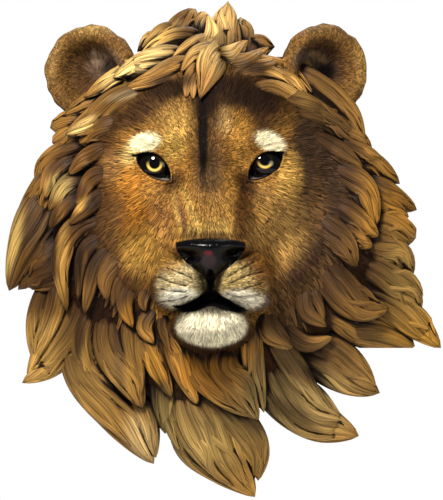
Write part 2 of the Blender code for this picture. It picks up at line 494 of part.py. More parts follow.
# From the middle of the cup over the rim to the middle of the back: share of the ear's half-width,
# and how far out of the ear's plane.
EAR_PROFILE = ((0.0, -22), (0.3, -20), (0.5, -12), (0.6, -3), (0.68, 3), (0.8, 6), (0.93, 3),
               (1.0, -5), (0.96, -14), (0.8, -22), (0.45, -30), (0.0, -34))


def ear_mesh(ear, sides, rings):
    bm = bmesh.new()
    bmesh.ops.create_uvsphere(bm, u_segments=sides, v_segments=rings, radius=1.0)
    steps = np.linspace(0, 1, len(EAR_PROFILE))
    shares, outs = zip(*EAR_PROFILE)
    for v in bm.verts:
        t = math.acos(max(-1.0, min(1.0, v.co.z))) / math.pi
        turn = math.atan2(v.co.y, v.co.x)
        share, out = np.interp(t, steps, shares), np.interp(t, steps, outs)
        # The outline is an egg, narrower towards the root.
        narrow = 1 - 0.10 * (math.cos(turn - ear.lean + math.pi / 2) + 1) / 2
        x = ear.half_wide * share * math.cos(turn) * narrow
        z = ear.half_high * share * math.sin(turn)
        across = x * math.cos(ear.turn) + out * math.sin(ear.turn)
        out = out * math.cos(ear.turn) - x * math.sin(ear.turn)
        v.co = (ear.across + across, ear.up + z, ear.out + out)
    return to_metres(bm)


def eye_mesh(eye, sides, rings):
    """An eyeball, seated in its carved slit."""
    bm = bmesh.new()
    bmesh.ops.create_uvsphere(bm, u_segments=sides, v_segments=rings, radius=EYE_BALL_RADIUS)
    middle = Vector((eye.ball_across, eye.ball_up, EYE_BALL_OUT - EYE_BALL_RADIUS))
    for v in bm.verts:
        v.co += middle
    return to_metres(bm)


def prism(width, low, high, front, back):
    """A straight-sided slot with round ends, in the wall's plane, cut from front to back."""
    bm = bmesh.new()
    half_step = Matrix.Rotation(math.pi / 24, 4, "Z")
    made = bmesh.ops.create_circle(bm, cap_ends=True, segments=24, radius=width / 2, matrix=half_step)
    for v in made["verts"]:
        x, rise = v.co.x, v.co.y
        v.co = (x, front, rise + (high if rise > 0 else low))
    grown = bmesh.ops.extrude_face_region(bm, geom=list(bm.faces))["geom"]
    for v in (g for g in grown if isinstance(g, bmesh.types.BMVert)):
        v.co.y = back
    bmesh.ops.recalc_face_normals(bm, faces=bm.faces)
    return bm


def back_cutters():
    """The wall's own side of the back, and the keyhole that hangs the head on a screw."""
    entry, end = KEYHOLE_ABOVE_ORIGIN, KEYHOLE_ABOVE_ORIGIN + KEYHOLE_TRAVEL
    middle = -(KEYHOLE_LIP + KEYHOLE_POCKET_DEPTH) / 2
    behind = bmesh.new()
    bmesh.ops.create_cube(behind, size=1.0)
    for v in behind.verts:
        v.co = (v.co.x, (v.co.y + 0.5) * BACK_OVERCUT, v.co.z - 0.1)
    return {
        "wall_side": behind,
        "keyhole_entry": prism(KEYHOLE_ENTRY_DIAMETER, entry, entry, BACK_OVERCUT / 2, -KEYHOLE_DEPTH),
        "keyhole_slot": prism(KEYHOLE_SLOT_WIDTH, entry, end, BACK_OVERCUT / 2, middle),
        "keyhole_pocket": prism(KEYHOLE_POCKET_WIDTH, entry, end, -KEYHOLE_LIP, -KEYHOLE_POCKET_DEPTH),
    }


def new_object(name, bm, collection):
    mesh = bpy.data.meshes.new(name)
    bm.to_mesh(mesh)
    bm.free()
    obj = bpy.data.objects.new(name, mesh)
    collection.objects.link(obj)
    return obj


def new_guides(name, meshes):
    """A collection of guide forms that the Boolean steps use, hidden from the render."""
    guides = bpy.data.collections.new(name)
    bpy.context.scene.collection.children.link(guides)
    for part_name, bm in meshes.items():
        obj = new_object(part_name, bm, guides)
        obj.hide_render = True
        obj.display_type = "WIRE"
    return guides


def boolean(obj, name, operation, guides):
    step = obj.modifiers.new(name, "BOOLEAN")
    step.operation = operation
    step.operand_type = "COLLECTION"
    step.collection = guides


def painted_resin():
    """The cast's own finish: satin, golden-brown paint."""
    material = bpy.data.materials.new("painted_resin")
    material.use_nodes = True
    shader = material.node_tree.nodes["Principled BSDF"]
    shader.inputs["Base Color"].default_value = (0.33, 0.17, 0.045, 1)
    shader.inputs["Roughness"].default_value = 0.5
    shader.inputs["Metallic"].default_value = 0.0
    return material


def main():
    for obj in list(bpy.data.objects):
        bpy.data.objects.remove(obj)
    carved = {}
    for lock in LOCKS:
        ridges = min(lock.ridges, 3 if lock.width >= BROAD_LOCK else 2)
        carved[lock.name] = lock_mesh(lock, ridges, ridges * 2, LOCK_BACK_STEPS, LOCK_STEP, LOCK_RINGS)
    for ear in EARS:
        carved[ear.name] = ear_mesh(ear, EAR_SIDES, EAR_RINGS)
    for name, eye in zip(("left_eye", "right_eye"), EYES):
        carved[name] = eye_mesh(eye, EYE_SIDES, EYE_RINGS)
    block = head_mesh(HEAD_CELLS, HEAD_RELAX_STEPS, FINE_SPOTS)
    head = new_object("lion_head", block, bpy.context.scene.collection)
    boolean(head, "fuse_locks_ears_and_eyes", "UNION", new_guides("locks_ears_and_eyes", carved))
    boolean(head, "flatten_back_and_cut_keyhole", "DIFFERENCE", new_guides("back_cutters", back_cutters()))
    head.data.materials.append(painted_resin())


main()
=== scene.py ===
import json
import math
import random
from collections import namedtuple

import bmesh
import bpy
import numpy as np
from mathutils import Matrix, Vector
from mathutils.bvhtree import BVHTree

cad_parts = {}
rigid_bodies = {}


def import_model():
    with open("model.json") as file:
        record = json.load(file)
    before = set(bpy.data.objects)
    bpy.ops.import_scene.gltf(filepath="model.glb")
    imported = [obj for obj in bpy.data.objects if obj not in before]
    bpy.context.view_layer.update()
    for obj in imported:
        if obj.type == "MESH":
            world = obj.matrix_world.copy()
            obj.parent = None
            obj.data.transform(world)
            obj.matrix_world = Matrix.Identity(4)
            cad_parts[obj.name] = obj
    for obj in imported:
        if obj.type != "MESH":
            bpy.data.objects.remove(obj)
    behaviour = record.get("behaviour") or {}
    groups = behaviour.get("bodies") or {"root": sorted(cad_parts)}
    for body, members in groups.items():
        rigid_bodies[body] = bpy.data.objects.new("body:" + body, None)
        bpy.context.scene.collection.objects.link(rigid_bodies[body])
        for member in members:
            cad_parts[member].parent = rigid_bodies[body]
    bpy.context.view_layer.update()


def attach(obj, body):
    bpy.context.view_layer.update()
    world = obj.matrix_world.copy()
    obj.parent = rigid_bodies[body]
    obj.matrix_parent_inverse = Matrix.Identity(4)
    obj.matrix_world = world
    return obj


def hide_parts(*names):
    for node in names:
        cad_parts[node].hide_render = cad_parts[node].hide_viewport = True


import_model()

# The whole head is one hollow resin casting. The front is squared up on a grid: a unit is a share of
# the height, across is to the viewer's right of the hanging point, up is above it, out is from the wall.
# The grid lies over the head as seen from VIEW_DISTANCE, so what stands out is drawn in a little.
HEAD_HEIGHT = 0.406
GRID_UNITS_HIGH = 495.0
UNIT = HEAD_HEIGHT / GRID_UNITS_HIGH
VIEW_DISTANCE = 3.0
VIEW_CENTRE = (13.5, -100.0)


def place(across, up, out):
    """A point of the grid, in metres."""
    draw_in = 1 - out * UNIT / VIEW_DISTANCE
    x = VIEW_CENTRE[0] + (across - VIEW_CENTRE[0]) * draw_in
    z = VIEW_CENTRE[1] + (up - VIEW_CENTRE[1]) * draw_in
    return (x * UNIT, -out * UNIT, z * UNIT)


def to_metres(bm):
    """Takes a form from the grid to metres, and turns its faces outwards."""
    for v in bm.verts:
        v.co = place(*v.co)
    bmesh.ops.recalc_face_normals(bm, faces=bm.faces)
    if bm.calc_volume(signed=True) < 0:
        bmesh.ops.reverse_faces(bm, faces=bm.faces)
    return bm


# The head itself: the face, the muzzle, and the low dome under the mane, all carved in the clay master.
# A mound is a rounded block of clay and a swell is a soft push or hollow. The dome's silhouette and
# its flat back are given by how far they reach from its centre, by clock angle from the viewer's right.
def soft_max(a, b, blend):
    """The larger of two heights, rounded over where they are within blend of each other."""
    near = np.maximum(blend - np.abs(a - b), 0.0) / blend
    return np.maximum(a, b) + near * near * blend * 0.25


def ease(x, low, high):
    """0 below low, 1 above high, and smooth between them."""
    t = np.clip((x - low) / (high - low), 0.0, 1.0)
    return t * t * (3 - 2 * t)


def glide(x, at, value):
    """A smooth curve through the values given at rising places."""
    at, value = np.array(at, float), np.array(value, float)
    slope = np.gradient(value, at)
    i = np.clip(np.searchsorted(at, x) - 1, 0, len(at) - 2)
    h = at[i + 1] - at[i]
    t = np.clip((x - at[i]) / h, 0.0, 1.0)
    start = (1 + 2 * t) * (1 - t) ** 2 * value[i] + t * (1 - t) ** 2 * h * slope[i]
    return start + t * t * (3 - 2 * t) * value[i + 1] + t * t * (t - 1) * h * slope[i + 1]


DOME_CENTRE = (0.0, -30.0)
SILHOUETTE_REACH = {0: 192, 30: 172, 60: 165, 90: 176, 120: 165, 150: 176,
                    180: 186, 210: 226, 240: 258, 270: 308, 300: 272, 330: 256}
BACK_REACH = {0: 172, 30: 156, 60: 138, 90: 148, 120: 136, 150: 152,
              180: 160, 210: 186, 240: 212, 270: 244, 300: 212, 330: 206}
DOME_OUT = 112.0
DOME_EDGE_OUT = 15.0
SHEET_CENTRE = (2.0, -78.0)


def reach_at(table, angle):
    """A reach read from a table by angle in radians, smooth all the way round."""
    clock = np.array(sorted(table))
    reach = [table[c] for c in clock]
    at = np.concatenate([clock[-2:] - 360, clock, clock[:2] + 360])
    return glide(np.degrees(angle) % 360.0, at, reach[-2:] + reach + reach[:2])


def dome_out(across, up):
    """The mane's dome, before its locks are laid on."""
    du, dv = across - DOME_CENTRE[0], up - DOME_CENTRE[1]
    share = np.hypot(du, dv) / reach_at(SILHOUETTE_REACH, np.arctan2(dv, du))
    cone = (1 - np.clip(share, 0, 1) ** 1.7) ** 0.9
    return DOME_EDGE_OUT + (DOME_OUT - DOME_EDGE_OUT) * cone


Mound = namedtuple("Mound", "across up half_wide half_high foot rise square blend")
MOUND_FALL = 60.0    # how steeply a mound drops away past its outline
FACE_AXIS = 2.5
SKULL = Mound(1, -20, 122, 128, 36, 97, 2.0, 20)
MUZZLE = Mound(3, -106, 60, 58, 84, 84, 2.2, 26)
PADS = (Mound(-27, -130, 26, 29, 126, 63, 2.6, 4), Mound(33, -129, 28, 31, 126, 63, 2.6, 4))
CHIN = Mound(3.5, -173, 39, 25, 100, 74, 2.5, 5)
Swell = namedtuple("Swell", "across up spread_wide spread_high push")
PAIRED_SWELLS = (
    Swell(38, 14, 20, 14, 8),       # brow
    Swell(68, 12, 20, 15, 7),       # outer brow
    Swell(55, -14, 22, 14, -12),    # eye socket
    Swell(35, -34, 10, 14, -8),     # hollow between the eye and the bridge
    Swell(78, -46, 24, 22, 9),      # cheek bone
    Swell(68, -92, 15, 20, -7),     # hollow behind the muzzle
    Swell(76, -128, 18, 22, 7),     # jowl
    Swell(24, 34, 18, 24, 4),       # forehead
)
FOREHEAD_FURROW = Swell(-5, 36, 5, 36, -5)
BRIDGE_UP = (-92.0, -75.0, -55.0, -30.0, -5.0, 18.0, 45.0)
BRIDGE_OUT = (187.0, 179.0, 167.0, 154.0, 143.0, 131.0, 112.0)
BRIDGE_HALF_WIDE = (34.0, 33.0, 28.0, 21.0, 17.0, 22.0, 34.0)
BRIDGE_FLAT_SHARE = 0.62
BRIDGE_SIDE_SLOPE, BRIDGE_SIDE_ROUNDING, BRIDGE_SIDE_FALL = 1.7, 12.0, 0.035
BRIDGE_TOP = 20.0
BRIDGE_FALL_ABOVE, BRIDGE_FALL_BELOW = 0.02, 0.25
BRIDGE_BLEND = 16.0
NOSE_TOP, NOSE_TIP, NOSE_FOOT = -88.0, -97.0, -126.0
NOSE_HALF_WIDE, NOSE_FOOT_HALF_WIDE = 35.0, 6.0
NOSE_TAPER = 1.6
NOSE_OUT = 198.0
NOSE_TOP_BOW = 5.0
NOSE_LEAN_BACK, NOSE_CROWN_CURVE = 15.0, 0.11
NOSE_ROUND_DROP, NOSE_ROUND_POWER = 15.0, 2.4
NOSE_FALL_ASIDE, NOSE_FALL_ABOVE, NOSE_FALL_BELOW = 3.0, 4.0, 5.0
NOSE_BLEND = 6.0
NOSTRILS = (
    Swell(-18.5, -106, 9, 5.5, -14),
    Swell(-26.5, -102, 6, 3, -7),
    Swell(25, -105, 9, 5.5, -14),
    Swell(33, -101, 6, 3, -7),
)
GROOVE_TOP, GROOVE_FOOT = -117.0, -146.0
GROOVE_DEPTH, GROOVE_HALF_WIDE, GROOVE_RUN_OUT = 12.0, 2.6, 6.0
MOUTH_ACROSS = (-60.0, -47.0, -30.0, -12.0, 2.5, 18.0, 42.0, 57.0, 70.0)
MOUTH_UP = (-140.0, -148.0, -157.0, -151.0, -144.0, -151.0, -160.0, -150.0, -142.0)
MOUTH_DEPTH = 20.0
MOUTH_HALF_HIGH = 3.4
MOUTH_HALF_WIDE = 44.0
MOUTH_DEEP_HALF_WIDE = 33.0
UNDER_LIP_OUT = 140.0
UNDER_LIP_FOOT, UNDER_LIP_END = -196.0, -205.0
FRONT_OF_MOUTH_OUT = 158.0
Eye = namedtuple("Eye", "across up ball_across ball_up side")
EYES = (Eye(-56, -16.5, -52, -15.0, -1), Eye(59, -15.5, 55, -14.0, 1))
EYE_TILT = math.radians(37)
EYE_OUTER_LONG, EYE_INNER_LONG = 18.5, 22.0
LID_UP, LID_DOWN = 11.5, 8.0
LID_CURVE = 0.75
LID_CORNER_FALL = 26.0
LID_RIM_HIGH, LID_RIM_WIDE = 3.0, 2.6
EYE_SEAT_DEPTH, EYE_SEAT_EDGE = 7.0, 1.2


def mound_out(m, across, up):
    r = (np.abs(across - m.across) / m.half_wide) ** m.square
    r = r + (np.abs(up - m.up) / m.half_high) ** m.square
    return m.foot + m.rise * np.sqrt(np.clip(1 - r, 0, 1)) - MOUND_FALL * np.maximum(r - 1, 0)


def swell_out(s, across, up):
    return s.push * np.exp(-((across - s.across) / s.spread_wide) ** 2
                           - ((up - s.up) / s.spread_high) ** 2)


def scalp_out(across, up):
    """The mane's dome with the skull under it, which the locks lie on."""
    return soft_max(dome_out(across, up), mound_out(SKULL, across, up), SKULL.blend)


def bridge_out(across, up):
    """The broad flat bridge of the nose, with its sloping sides."""
    out = glide(up, BRIDGE_UP, BRIDGE_OUT)
    half = glide(up, BRIDGE_UP, BRIDGE_HALF_WIDE)
    past = np.maximum(np.abs(across - FACE_AXIS) - half * BRIDGE_FLAT_SHARE, 0.0)
    side = BRIDGE_SIDE_SLOPE * past * past / (past + BRIDGE_SIDE_ROUNDING) + BRIDGE_SIDE_FALL * past ** 2
    above, below = np.maximum(up - BRIDGE_TOP, 0.0), np.maximum(BRIDGE_UP[0] - up, 0.0)
    return out - side - BRIDGE_FALL_BELOW * below ** 2 - BRIDGE_FALL_ABOVE * above ** 2


def nose_half_wide(up):
    """The nose leather's half-width, and how low a height is on it, from 0 at its tip to 1 at its foot."""
    low = np.clip((NOSE_TIP - up) / (NOSE_TIP - NOSE_FOOT), 0, 1)
    return NOSE_HALF_WIDE + (NOSE_FOOT_HALF_WIDE - NOSE_HALF_WIDE) * low ** NOSE_TAPER, low


def nose_out(across, up):
    """The nose leather: broad above, narrow below, with rounded wings."""
    half, low = nose_half_wide(up)
    away = np.abs(across - FACE_AXIS)
    above = np.maximum(up - NOSE_TOP + NOSE_TOP_BOW * (away / NOSE_HALF_WIDE) ** 2, 0.0)
    lean = NOSE_LEAN_BACK * low ** NOSE_TAPER
    crown = NOSE_OUT - lean - NOSE_CROWN_CURVE * np.maximum(up - NOSE_TIP, 0) ** 2
    wing = NOSE_ROUND_DROP * (away / half) ** NOSE_ROUND_POWER
    fall = wing + NOSE_FALL_ASIDE * np.maximum(away - half, 0) + NOSE_FALL_ABOVE * above
    return crown - fall - NOSE_FALL_BELOW * np.maximum(NOSE_FOOT - up, 0)


def slit_place(across, up, eye):
    """A point's place along and above an eye's slit, with the outer corner at the far end."""
    du, dv = (across - eye.across) * eye.side, up - eye.up
    along = du * math.cos(EYE_TILT) + dv * math.sin(EYE_TILT)
    return along, -du * math.sin(EYE_TILT) + dv * math.cos(EYE_TILT)


def past_lid(across, up, eye):
    """Distance outside the edge of an eye's lids, negative inside the slit."""
    along, above = slit_place(across, up, eye)
    end = np.abs(along) / np.where(along > 0, EYE_OUTER_LONG, EYE_INNER_LONG)
    lid = np.where(above > 0, LID_UP, LID_DOWN) * np.clip(1 - end ** 2, 0, 1) ** LID_CURVE
    return np.abs(above) - lid + LID_CORNER_FALL * np.maximum(end - 1, 0)


def head_out(across, up):
    """How far the head stands out from the wall, face and mane dome together."""
    out = soft_max(scalp_out(across, up), bridge_out(across, up), BRIDGE_BLEND)
    for s in PAIRED_SWELLS:
        for side in (-1, 1):
            out = out + swell_out(s._replace(across=FACE_AXIS + side * s.across), across, up)
    out = out + swell_out(FOREHEAD_FURROW, across, up)
    for eye in EYES:
        past = past_lid(across, up, eye)
        rim = LID_RIM_HIGH * np.exp(-((past - LID_RIM_WIDE) / LID_RIM_WIDE) ** 2)
        out = out + rim - EYE_SEAT_DEPTH * ease(-past, -EYE_SEAT_EDGE, EYE_SEAT_EDGE)
    out = soft_max(out, mound_out(MUZZLE, across, up), MUZZLE.blend)
    for pad in PADS:
        out = soft_max(out, mound_out(pad, across, up), pad.blend)
    out = soft_max(out, nose_out(across, up), NOSE_BLEND)
    for nostril in NOSTRILS:
        out = out + swell_out(nostril, across, up)
    groove = np.exp(-((across - FACE_AXIS) / GROOVE_HALF_WIDE) ** 2)
    groove = groove * ease(up, GROOVE_FOOT, GROOVE_FOOT + GROOVE_RUN_OUT)
    out = out - GROOVE_DEPTH * groove * (1 - ease(up, NOSE_FOOT, GROOVE_TOP))
    lips = up - glide(across, MOUTH_ACROSS, MOUTH_UP)
    inside = 1 - ease(np.abs(across - FACE_AXIS), MOUTH_DEEP_HALF_WIDE, MOUTH_HALF_WIDE)
    drop = np.maximum(out - UNDER_LIP_OUT, 0)
    out = out - drop * inside * ease(-lips, -2.0, 4.0) * ease(up, UNDER_LIP_END, UNDER_LIP_FOOT)
    out = soft_max(out, mound_out(CHIN, across, up), CHIN.blend)
    slot = inside * np.exp(-(lips / MOUTH_HALF_HIGH) ** 2)
    return out - MOUTH_DEPTH * slot * ease(out, UNDER_LIP_OUT, FRONT_OF_MOUTH_OUT)


# Hair is drawn along the flow: away from the point between the brows on the head, and away from
# the middle of the lip on the muzzle. A hair map holds the place across the flow and along it.
BROW_POINT = (-3.0, -10.0)
LIP_POINT = (3.0, -136.0)
MUZZLE_HAIR_RADIUS = 58.0
MUZZLE_HAIR_TOP = -98.0
LONG_HAIR_FROM = 72.0       # from here outwards the fur is longer
LONG_HAIR_RATE = 0.45       # how much slower its map runs there
HAIR_NARROWING = 1.1        # how much narrower the hairs are than the map's unit
NEAREST_RING = 12.0
MUZZLE_MAP_OFFSET = 400.0   # keeps the muzzle's hairs apart from the face's on the map


def hair_flow(bm):
    """Gives the head's faces their hair map, ring by ring so that the hairs keep their breadth."""
    hair = bm.loops.layers.uv.new("hair")
    rough = random.Random(3)
    for face in bm.faces:
        middle = face.calc_center_median()
        lip = math.hypot(middle.x - LIP_POINT[0], middle.y - LIP_POINT[1])
        on_muzzle = lip < MUZZLE_HAIR_RADIUS and middle.y < MUZZLE_HAIR_TOP
        source = LIP_POINT if on_muzzle else BROW_POINT
        reach = math.hypot(middle.x - source[0], middle.y - source[1])
        ring = 2.0 ** round(math.log2(max(reach, NEAREST_RING)) + rough.uniform(-0.06, 0.06))
        facing = math.atan2(middle.y - source[1], middle.x - source[0])
        for loop in face.loops:
            du, dv = loop.vert.co.x - source[0], loop.vert.co.y - source[1]
            turn = math.remainder(math.atan2(dv, du) - facing, math.tau) + facing
            run = math.hypot(du, dv)
            run = min(run, LONG_HAIR_FROM) + max(run - LONG_HAIR_FROM, 0.0) * LONG_HAIR_RATE
            loop[hair].uv = (turn * ring * HAIR_NARROWING, run + MUZZLE_MAP_OFFSET * on_muzzle)
    return bm


# The fur is also carved: clumps of hair along the same flow, deeper towards the mane. The whiskers
# grow from grooves on the pads, and the beard on the chin is combed straight down.
WHISKER_ROWS = (
    ((-41, -118), (-30, -122), (-16, -128)), ((-51, -127), (-35, -133), (-22, -136)),
    ((-48, -138), (-39, -141), (-22, -142)), ((-46, -152), (-32, -150), (-21, -146)),
    ((20, -127), (31, -120), (46, -112)), ((20, -134), (38, -126), (56, -121)),
    ((21, -139), (29, -141), (56, -133)), ((19, -144), (29, -147), (56, -144)),
)
WHISKER_GROOVE_DEPTH, WHISKER_GROOVE_WIDE = 1.8, 1.9
CHIN_GROOVE_DEPTH, CHIN_GROOVE_WIDE = 1.3, 4.6
BEARD_HALF_WIDE, BEARD_HALF_HIGH, BEARD_FADE = 38.0, 22.0, 0.25
FUR_CLUMP_WIDE, FUR_CLUMP_LONG = 3.0, 9.0
CLUMP_BEND = 1.5
NEAREST_CLUMP_RING = 8.0
FUR_DEPTH_FACE, FUR_DEPTH_SIDES = 0.7, 1.2
MUZZLE_FUR_SHARE = 0.4
FACE_OVAL_UP, FACE_OVAL_HALF_WIDE, FACE_OVAL_HALF_HIGH = -60, 88.0, 118.0
NOSE_MARGIN = 8


def patchwork(x, y):
    """Smooth random hills and hollows between 0 and 1, one to each square of a grid. The corners'
    heights come from the usual sine hash."""
    def corner(i, j):
        return np.modf(np.abs(np.sin(i * 12.9898 + j * 78.233) * 43758.5453))[0]

    i, j = np.floor(x), np.floor(y)
    f, g = x - i, y - j
    f, g = f * f * (3 - 2 * f), g * g * (3 - 2 * g)
    low = corner(i, j) * (1 - f) + corner(i + 1, j) * f
    return low * (1 - g) + (corner(i, j + 1) * (1 - f) + corner(i + 1, j + 1) * f) * g


def clumps(across, up, source):
    """The carved clumps of hair that run away from a point, with two rings of them blended."""
    du, dv = across - source[0], up - source[1]
    reach, turn = np.hypot(du, dv), np.arctan2(dv, du)
    ring = np.log2(np.maximum(reach, NEAREST_CLUMP_RING))
    share = ease(ring - np.floor(ring), 0.3, 0.7)
    height = 0.0
    for step, weight in ((0, 1 - share), (1, share)):
        round_ring = turn * 2.0 ** (np.floor(ring) + step) / FUR_CLUMP_WIDE
        bend = CLUMP_BEND * patchwork(round_ring / 6, reach / 20)
        hills = patchwork(round_ring + bend, reach / FUR_CLUMP_LONG + bend)
        height = height + weight * np.abs(2 * hills - 1)
    return 1 - height


def line_distance(across, up, start, finish):
    """Distance from a straight stroke between two points."""
    run = np.array(finish, float) - start
    t = np.clip(((across - start[0]) * run[0] + (up - start[1]) * run[1]) / (run @ run), 0, 1)
    return np.hypot(across - start[0] - t * run[0], up - start[1] - t * run[1])


def whisker_distance(across, up):
    """Distance from the nearest row of whiskers."""
    strokes = [(row[i], row[i + 1]) for row in WHISKER_ROWS for i in (0, 1)]
    return np.min([line_distance(across, up, *stroke) for stroke in strokes], axis=0)


def fur_out(across, up):
    """How far the carved clumps raise the head's surface, less the whiskers' and the beard's grooves."""
    from_axis = np.abs(across - FACE_AXIS)
    on_muzzle = ease(MUZZLE_HAIR_RADIUS - np.hypot(across - LIP_POINT[0], up - LIP_POINT[1]), -5, 5)
    on_muzzle = on_muzzle * ease(MUZZLE_HAIR_TOP - up, -5, 5)
    face = np.hypot(from_axis / FACE_OVAL_HALF_WIDE, (up - FACE_OVAL_UP) / FACE_OVAL_HALF_HIGH)
    depth = FUR_DEPTH_FACE + (FUR_DEPTH_SIDES - FUR_DEPTH_FACE) * ease(face, 0.85, 1.15)
    lids = np.min([past_lid(across, up, eye) for eye in EYES], axis=0)
    nose = np.hypot(from_axis / (NOSE_HALF_WIDE + NOSE_MARGIN), (up - NOSE_TIP + 6) / 30.0)
    depth = depth * ease(lids, 3, 12) * ease(nose, 0.9, 1.3) * (1 - (1 - MUZZLE_FUR_SHARE) * on_muzzle)
    on_face, round_lip = clumps(across, up, BROW_POINT), clumps(across, up, LIP_POINT)
    fur = depth * (on_face * (1 - on_muzzle) + round_lip * on_muzzle)
    groove = np.exp(-(whisker_distance(across, up) / WHISKER_GROOVE_WIDE) ** 2)
    wave = across + 1.2 * np.sin(up / 5.0) + 2.0 * patchwork(across / 9.0, up / 11.0)
    from_chin = np.hypot((across - CHIN.across) / BEARD_HALF_WIDE, (up - CHIN.up) / BEARD_HALF_HIGH)
    on_chin = ease(1 - from_chin, 0.0, BEARD_FADE)
    comb = 1 - np.abs(np.sin(math.pi * wave / CHIN_GROOVE_WIDE)) ** 0.6
    return fur - WHISKER_GROOVE_DEPTH * groove - CHIN_GROOVE_DEPTH * on_chin * comb


HEAD_CELLS = 160
HEAD_RELAX_STEPS = 16
FINE_SPOTS = ((-56, -16, 29), (59, -15, 29), (3, -127, 52))    # the eyes and the muzzle: place and radius
CELL_CROWDING = 2.2
EDGE_ROLL, EDGE_ROLL_FROM = 0.45, 0.93
BACK_OVERCUT = 0.01    # metres that the cutters reach behind the wall's face


def relax(grid, steps):
    """Slides the points over the relief until they are evenly spaced on its slopes."""
    for _ in range(steps):
        own = grid[1:-1, 1:-1]
        pull, weight = 0.0, 1e-9
        for near in (grid[:-2, 1:-1], grid[2:, 1:-1], grid[1:-1, :-2], grid[1:-1, 2:]):
            length = np.linalg.norm(near - own, axis=2, keepdims=True)
            pull, weight = pull + near * length, weight + length
        flat = own[:, :, :2] * 0.5 + (pull / weight)[:, :, :2] * 0.5
        grid[1:-1, 1:-1] = np.dstack([flat, head_out(flat[:, :, 0], flat[:, :, 1])])
    return grid


def halve_cells(bm, spots):
    """Halves the relief's cells within a radius of each spot, and lays the new points on the relief."""
    def inside(v):
        return any(math.hypot(v.co.x - u, v.co.y - w) < radius for u, w, radius in spots)

    near = [e for e in bm.edges if inside(e.verts[0]) and inside(e.verts[1])]
    made = bmesh.ops.subdivide_edges(bm, edges=near, cuts=1, use_grid_fill=True)["geom_inner"]
    for v in (g for g in made if isinstance(g, bmesh.types.BMVert)):
        v.co.z = head_out(v.co.x, v.co.y) + fur_out(v.co.x, v.co.y)
    bmesh.ops.triangulate(bm, faces=[f for f in bm.faces if len(f.verts) > 4])


def head_mesh(cells, relax_steps, spots):
    """The head and the mane's dome as one closed block with a flat back."""
    bm = bmesh.new()
    bmesh.ops.create_grid(bm, x_segments=cells, y_segments=cells, size=1.0)
    steps = np.array([v.co[:2] for v in bm.verts]).round(6)
    order = np.lexsort((steps[:, 0], steps[:, 1]))
    x, y = steps[order].T.reshape(2, cells + 1, cells + 1)
    # The square sheet is spread over the flat back's outline, with the smallest cells on the face.
    ring = np.maximum(np.abs(x), np.abs(y))
    angle = np.arctan2(y, x)
    reach = reach_at(BACK_REACH, angle)
    share = 0.5 * ring + 0.5 * ring ** CELL_CROWDING
    across = SHEET_CENTRE[0] + share * (DOME_CENTRE[0] + reach * np.cos(angle) - SHEET_CENTRE[0])
    up = SHEET_CENTRE[1] + share * (DOME_CENTRE[1] + reach * np.sin(angle) - SHEET_CENTRE[1])
    grid = relax(np.dstack([across, up, head_out(across, up)]), relax_steps)
    grid[:, :, 2] += fur_out(grid[:, :, 0], grid[:, :, 1])
    # The dome rolls over towards the wall at its edge.
    grid[:, :, 2] *= 1 - EDGE_ROLL * ease(ring, EDGE_ROLL_FROM, 1.0)
    bm.verts.ensure_lookup_table()
    for index, point in zip(order, grid.reshape(-1, 3)):
        bm.verts[index].co = point
    halve_cells(bm, spots)
    rim = [e for e in bm.edges if e.is_boundary]
    skirt = bmesh.ops.extrude_edge_only(bm, edges=rim)["geom"]
    for v in (g for g in skirt if isinstance(g, bmesh.types.BMVert)):
        v.co.z = -BACK_OVERCUT / 2 / UNIT
    bmesh.ops.contextual_create(bm, geom=[e for e in bm.edges if e.is_boundary])
    bmesh.ops.triangulate(bm, faces=[f for f in bm.faces if len(f.verts) > 4])
    return to_metres(hair_flow(bm))


FINISHES = FUR, MANE, EAR, EYE = range(4)    # which finish a face of the casting takes
POLE = 0.9999                                # how near to a ball's pole a point counts as on it
forms = bpy.data.collections.new("locks_ears_and_eyes")
bpy.context.scene.collection.children.link(forms)


def new_form(name, bm, finish, collection):
    """A form of the clay master as an object, all its faces marked with one finish."""
    for face in bm.faces:
        face.material_index = finish
        face.smooth = True
    for layer_name in ("hair", "strand"):
        if layer_name not in bm.loops.layers.uv:
            bm.loops.layers.uv.new(layer_name)
    mesh = bpy.data.meshes.new(name)
    bm.to_mesh(mesh)
    bm.free()
    for _ in FINISHES:
        mesh.materials.append(None)
    obj = bpy.data.objects.new(name, mesh)
    collection.objects.link(obj)
    return obj


casting = new_form("lion_head_casting", head_mesh(HEAD_CELLS, HEAD_RELAX_STEPS, FINE_SPOTS), FUR,
                   bpy.context.scene.collection)

# The eyeballs are smooth balls pressed into the slits of the clay.
EYE_BALL_RADIUS = 22.0
EYE_BALL_OUT = 120.0

for eye in EYES:
    ball = bmesh.new()
    bmesh.ops.create_uvsphere(ball, u_segments=56, v_segments=36, radius=EYE_BALL_RADIUS, calc_uvs=True)
    for v in ball.verts:
        v.co += Vector((eye.ball_across, eye.ball_up, EYE_BALL_OUT - EYE_BALL_RADIUS))
    new_form("eye", to_metres(ball), EYE, forms)

# The ears are round cups with thick, furry rims, turned a little outwards. The profile runs from the
# middle of the cup over the rim to the middle of the back: share of the half-width, and place out.
Ear = namedtuple("Ear", "name across up half_wide half_high out turn lean")
EARS = (
    Ear("left_ear", -119, 76, 50, 49, 52, math.radians(-20), math.radians(24)),
    Ear("right_ear", 117, 77, 48, 49, 52, math.radians(22), math.radians(-20)),
)
EAR_PROFILE = ((0.0, -22), (0.3, -20), (0.5, -12), (0.6, -3), (0.68, 3), (0.8, 6), (0.93, 3),
               (1.0, -5), (0.96, -14), (0.8, -22), (0.45, -30), (0.0, -34))
EAR_HAIR_RADIUS = 32.0
EAR_HAIR_RUN = 150.0
EAR_TUFTS, EAR_TUFT_HEIGHT = 40, 0.03
EAR_NARROWING = 0.10


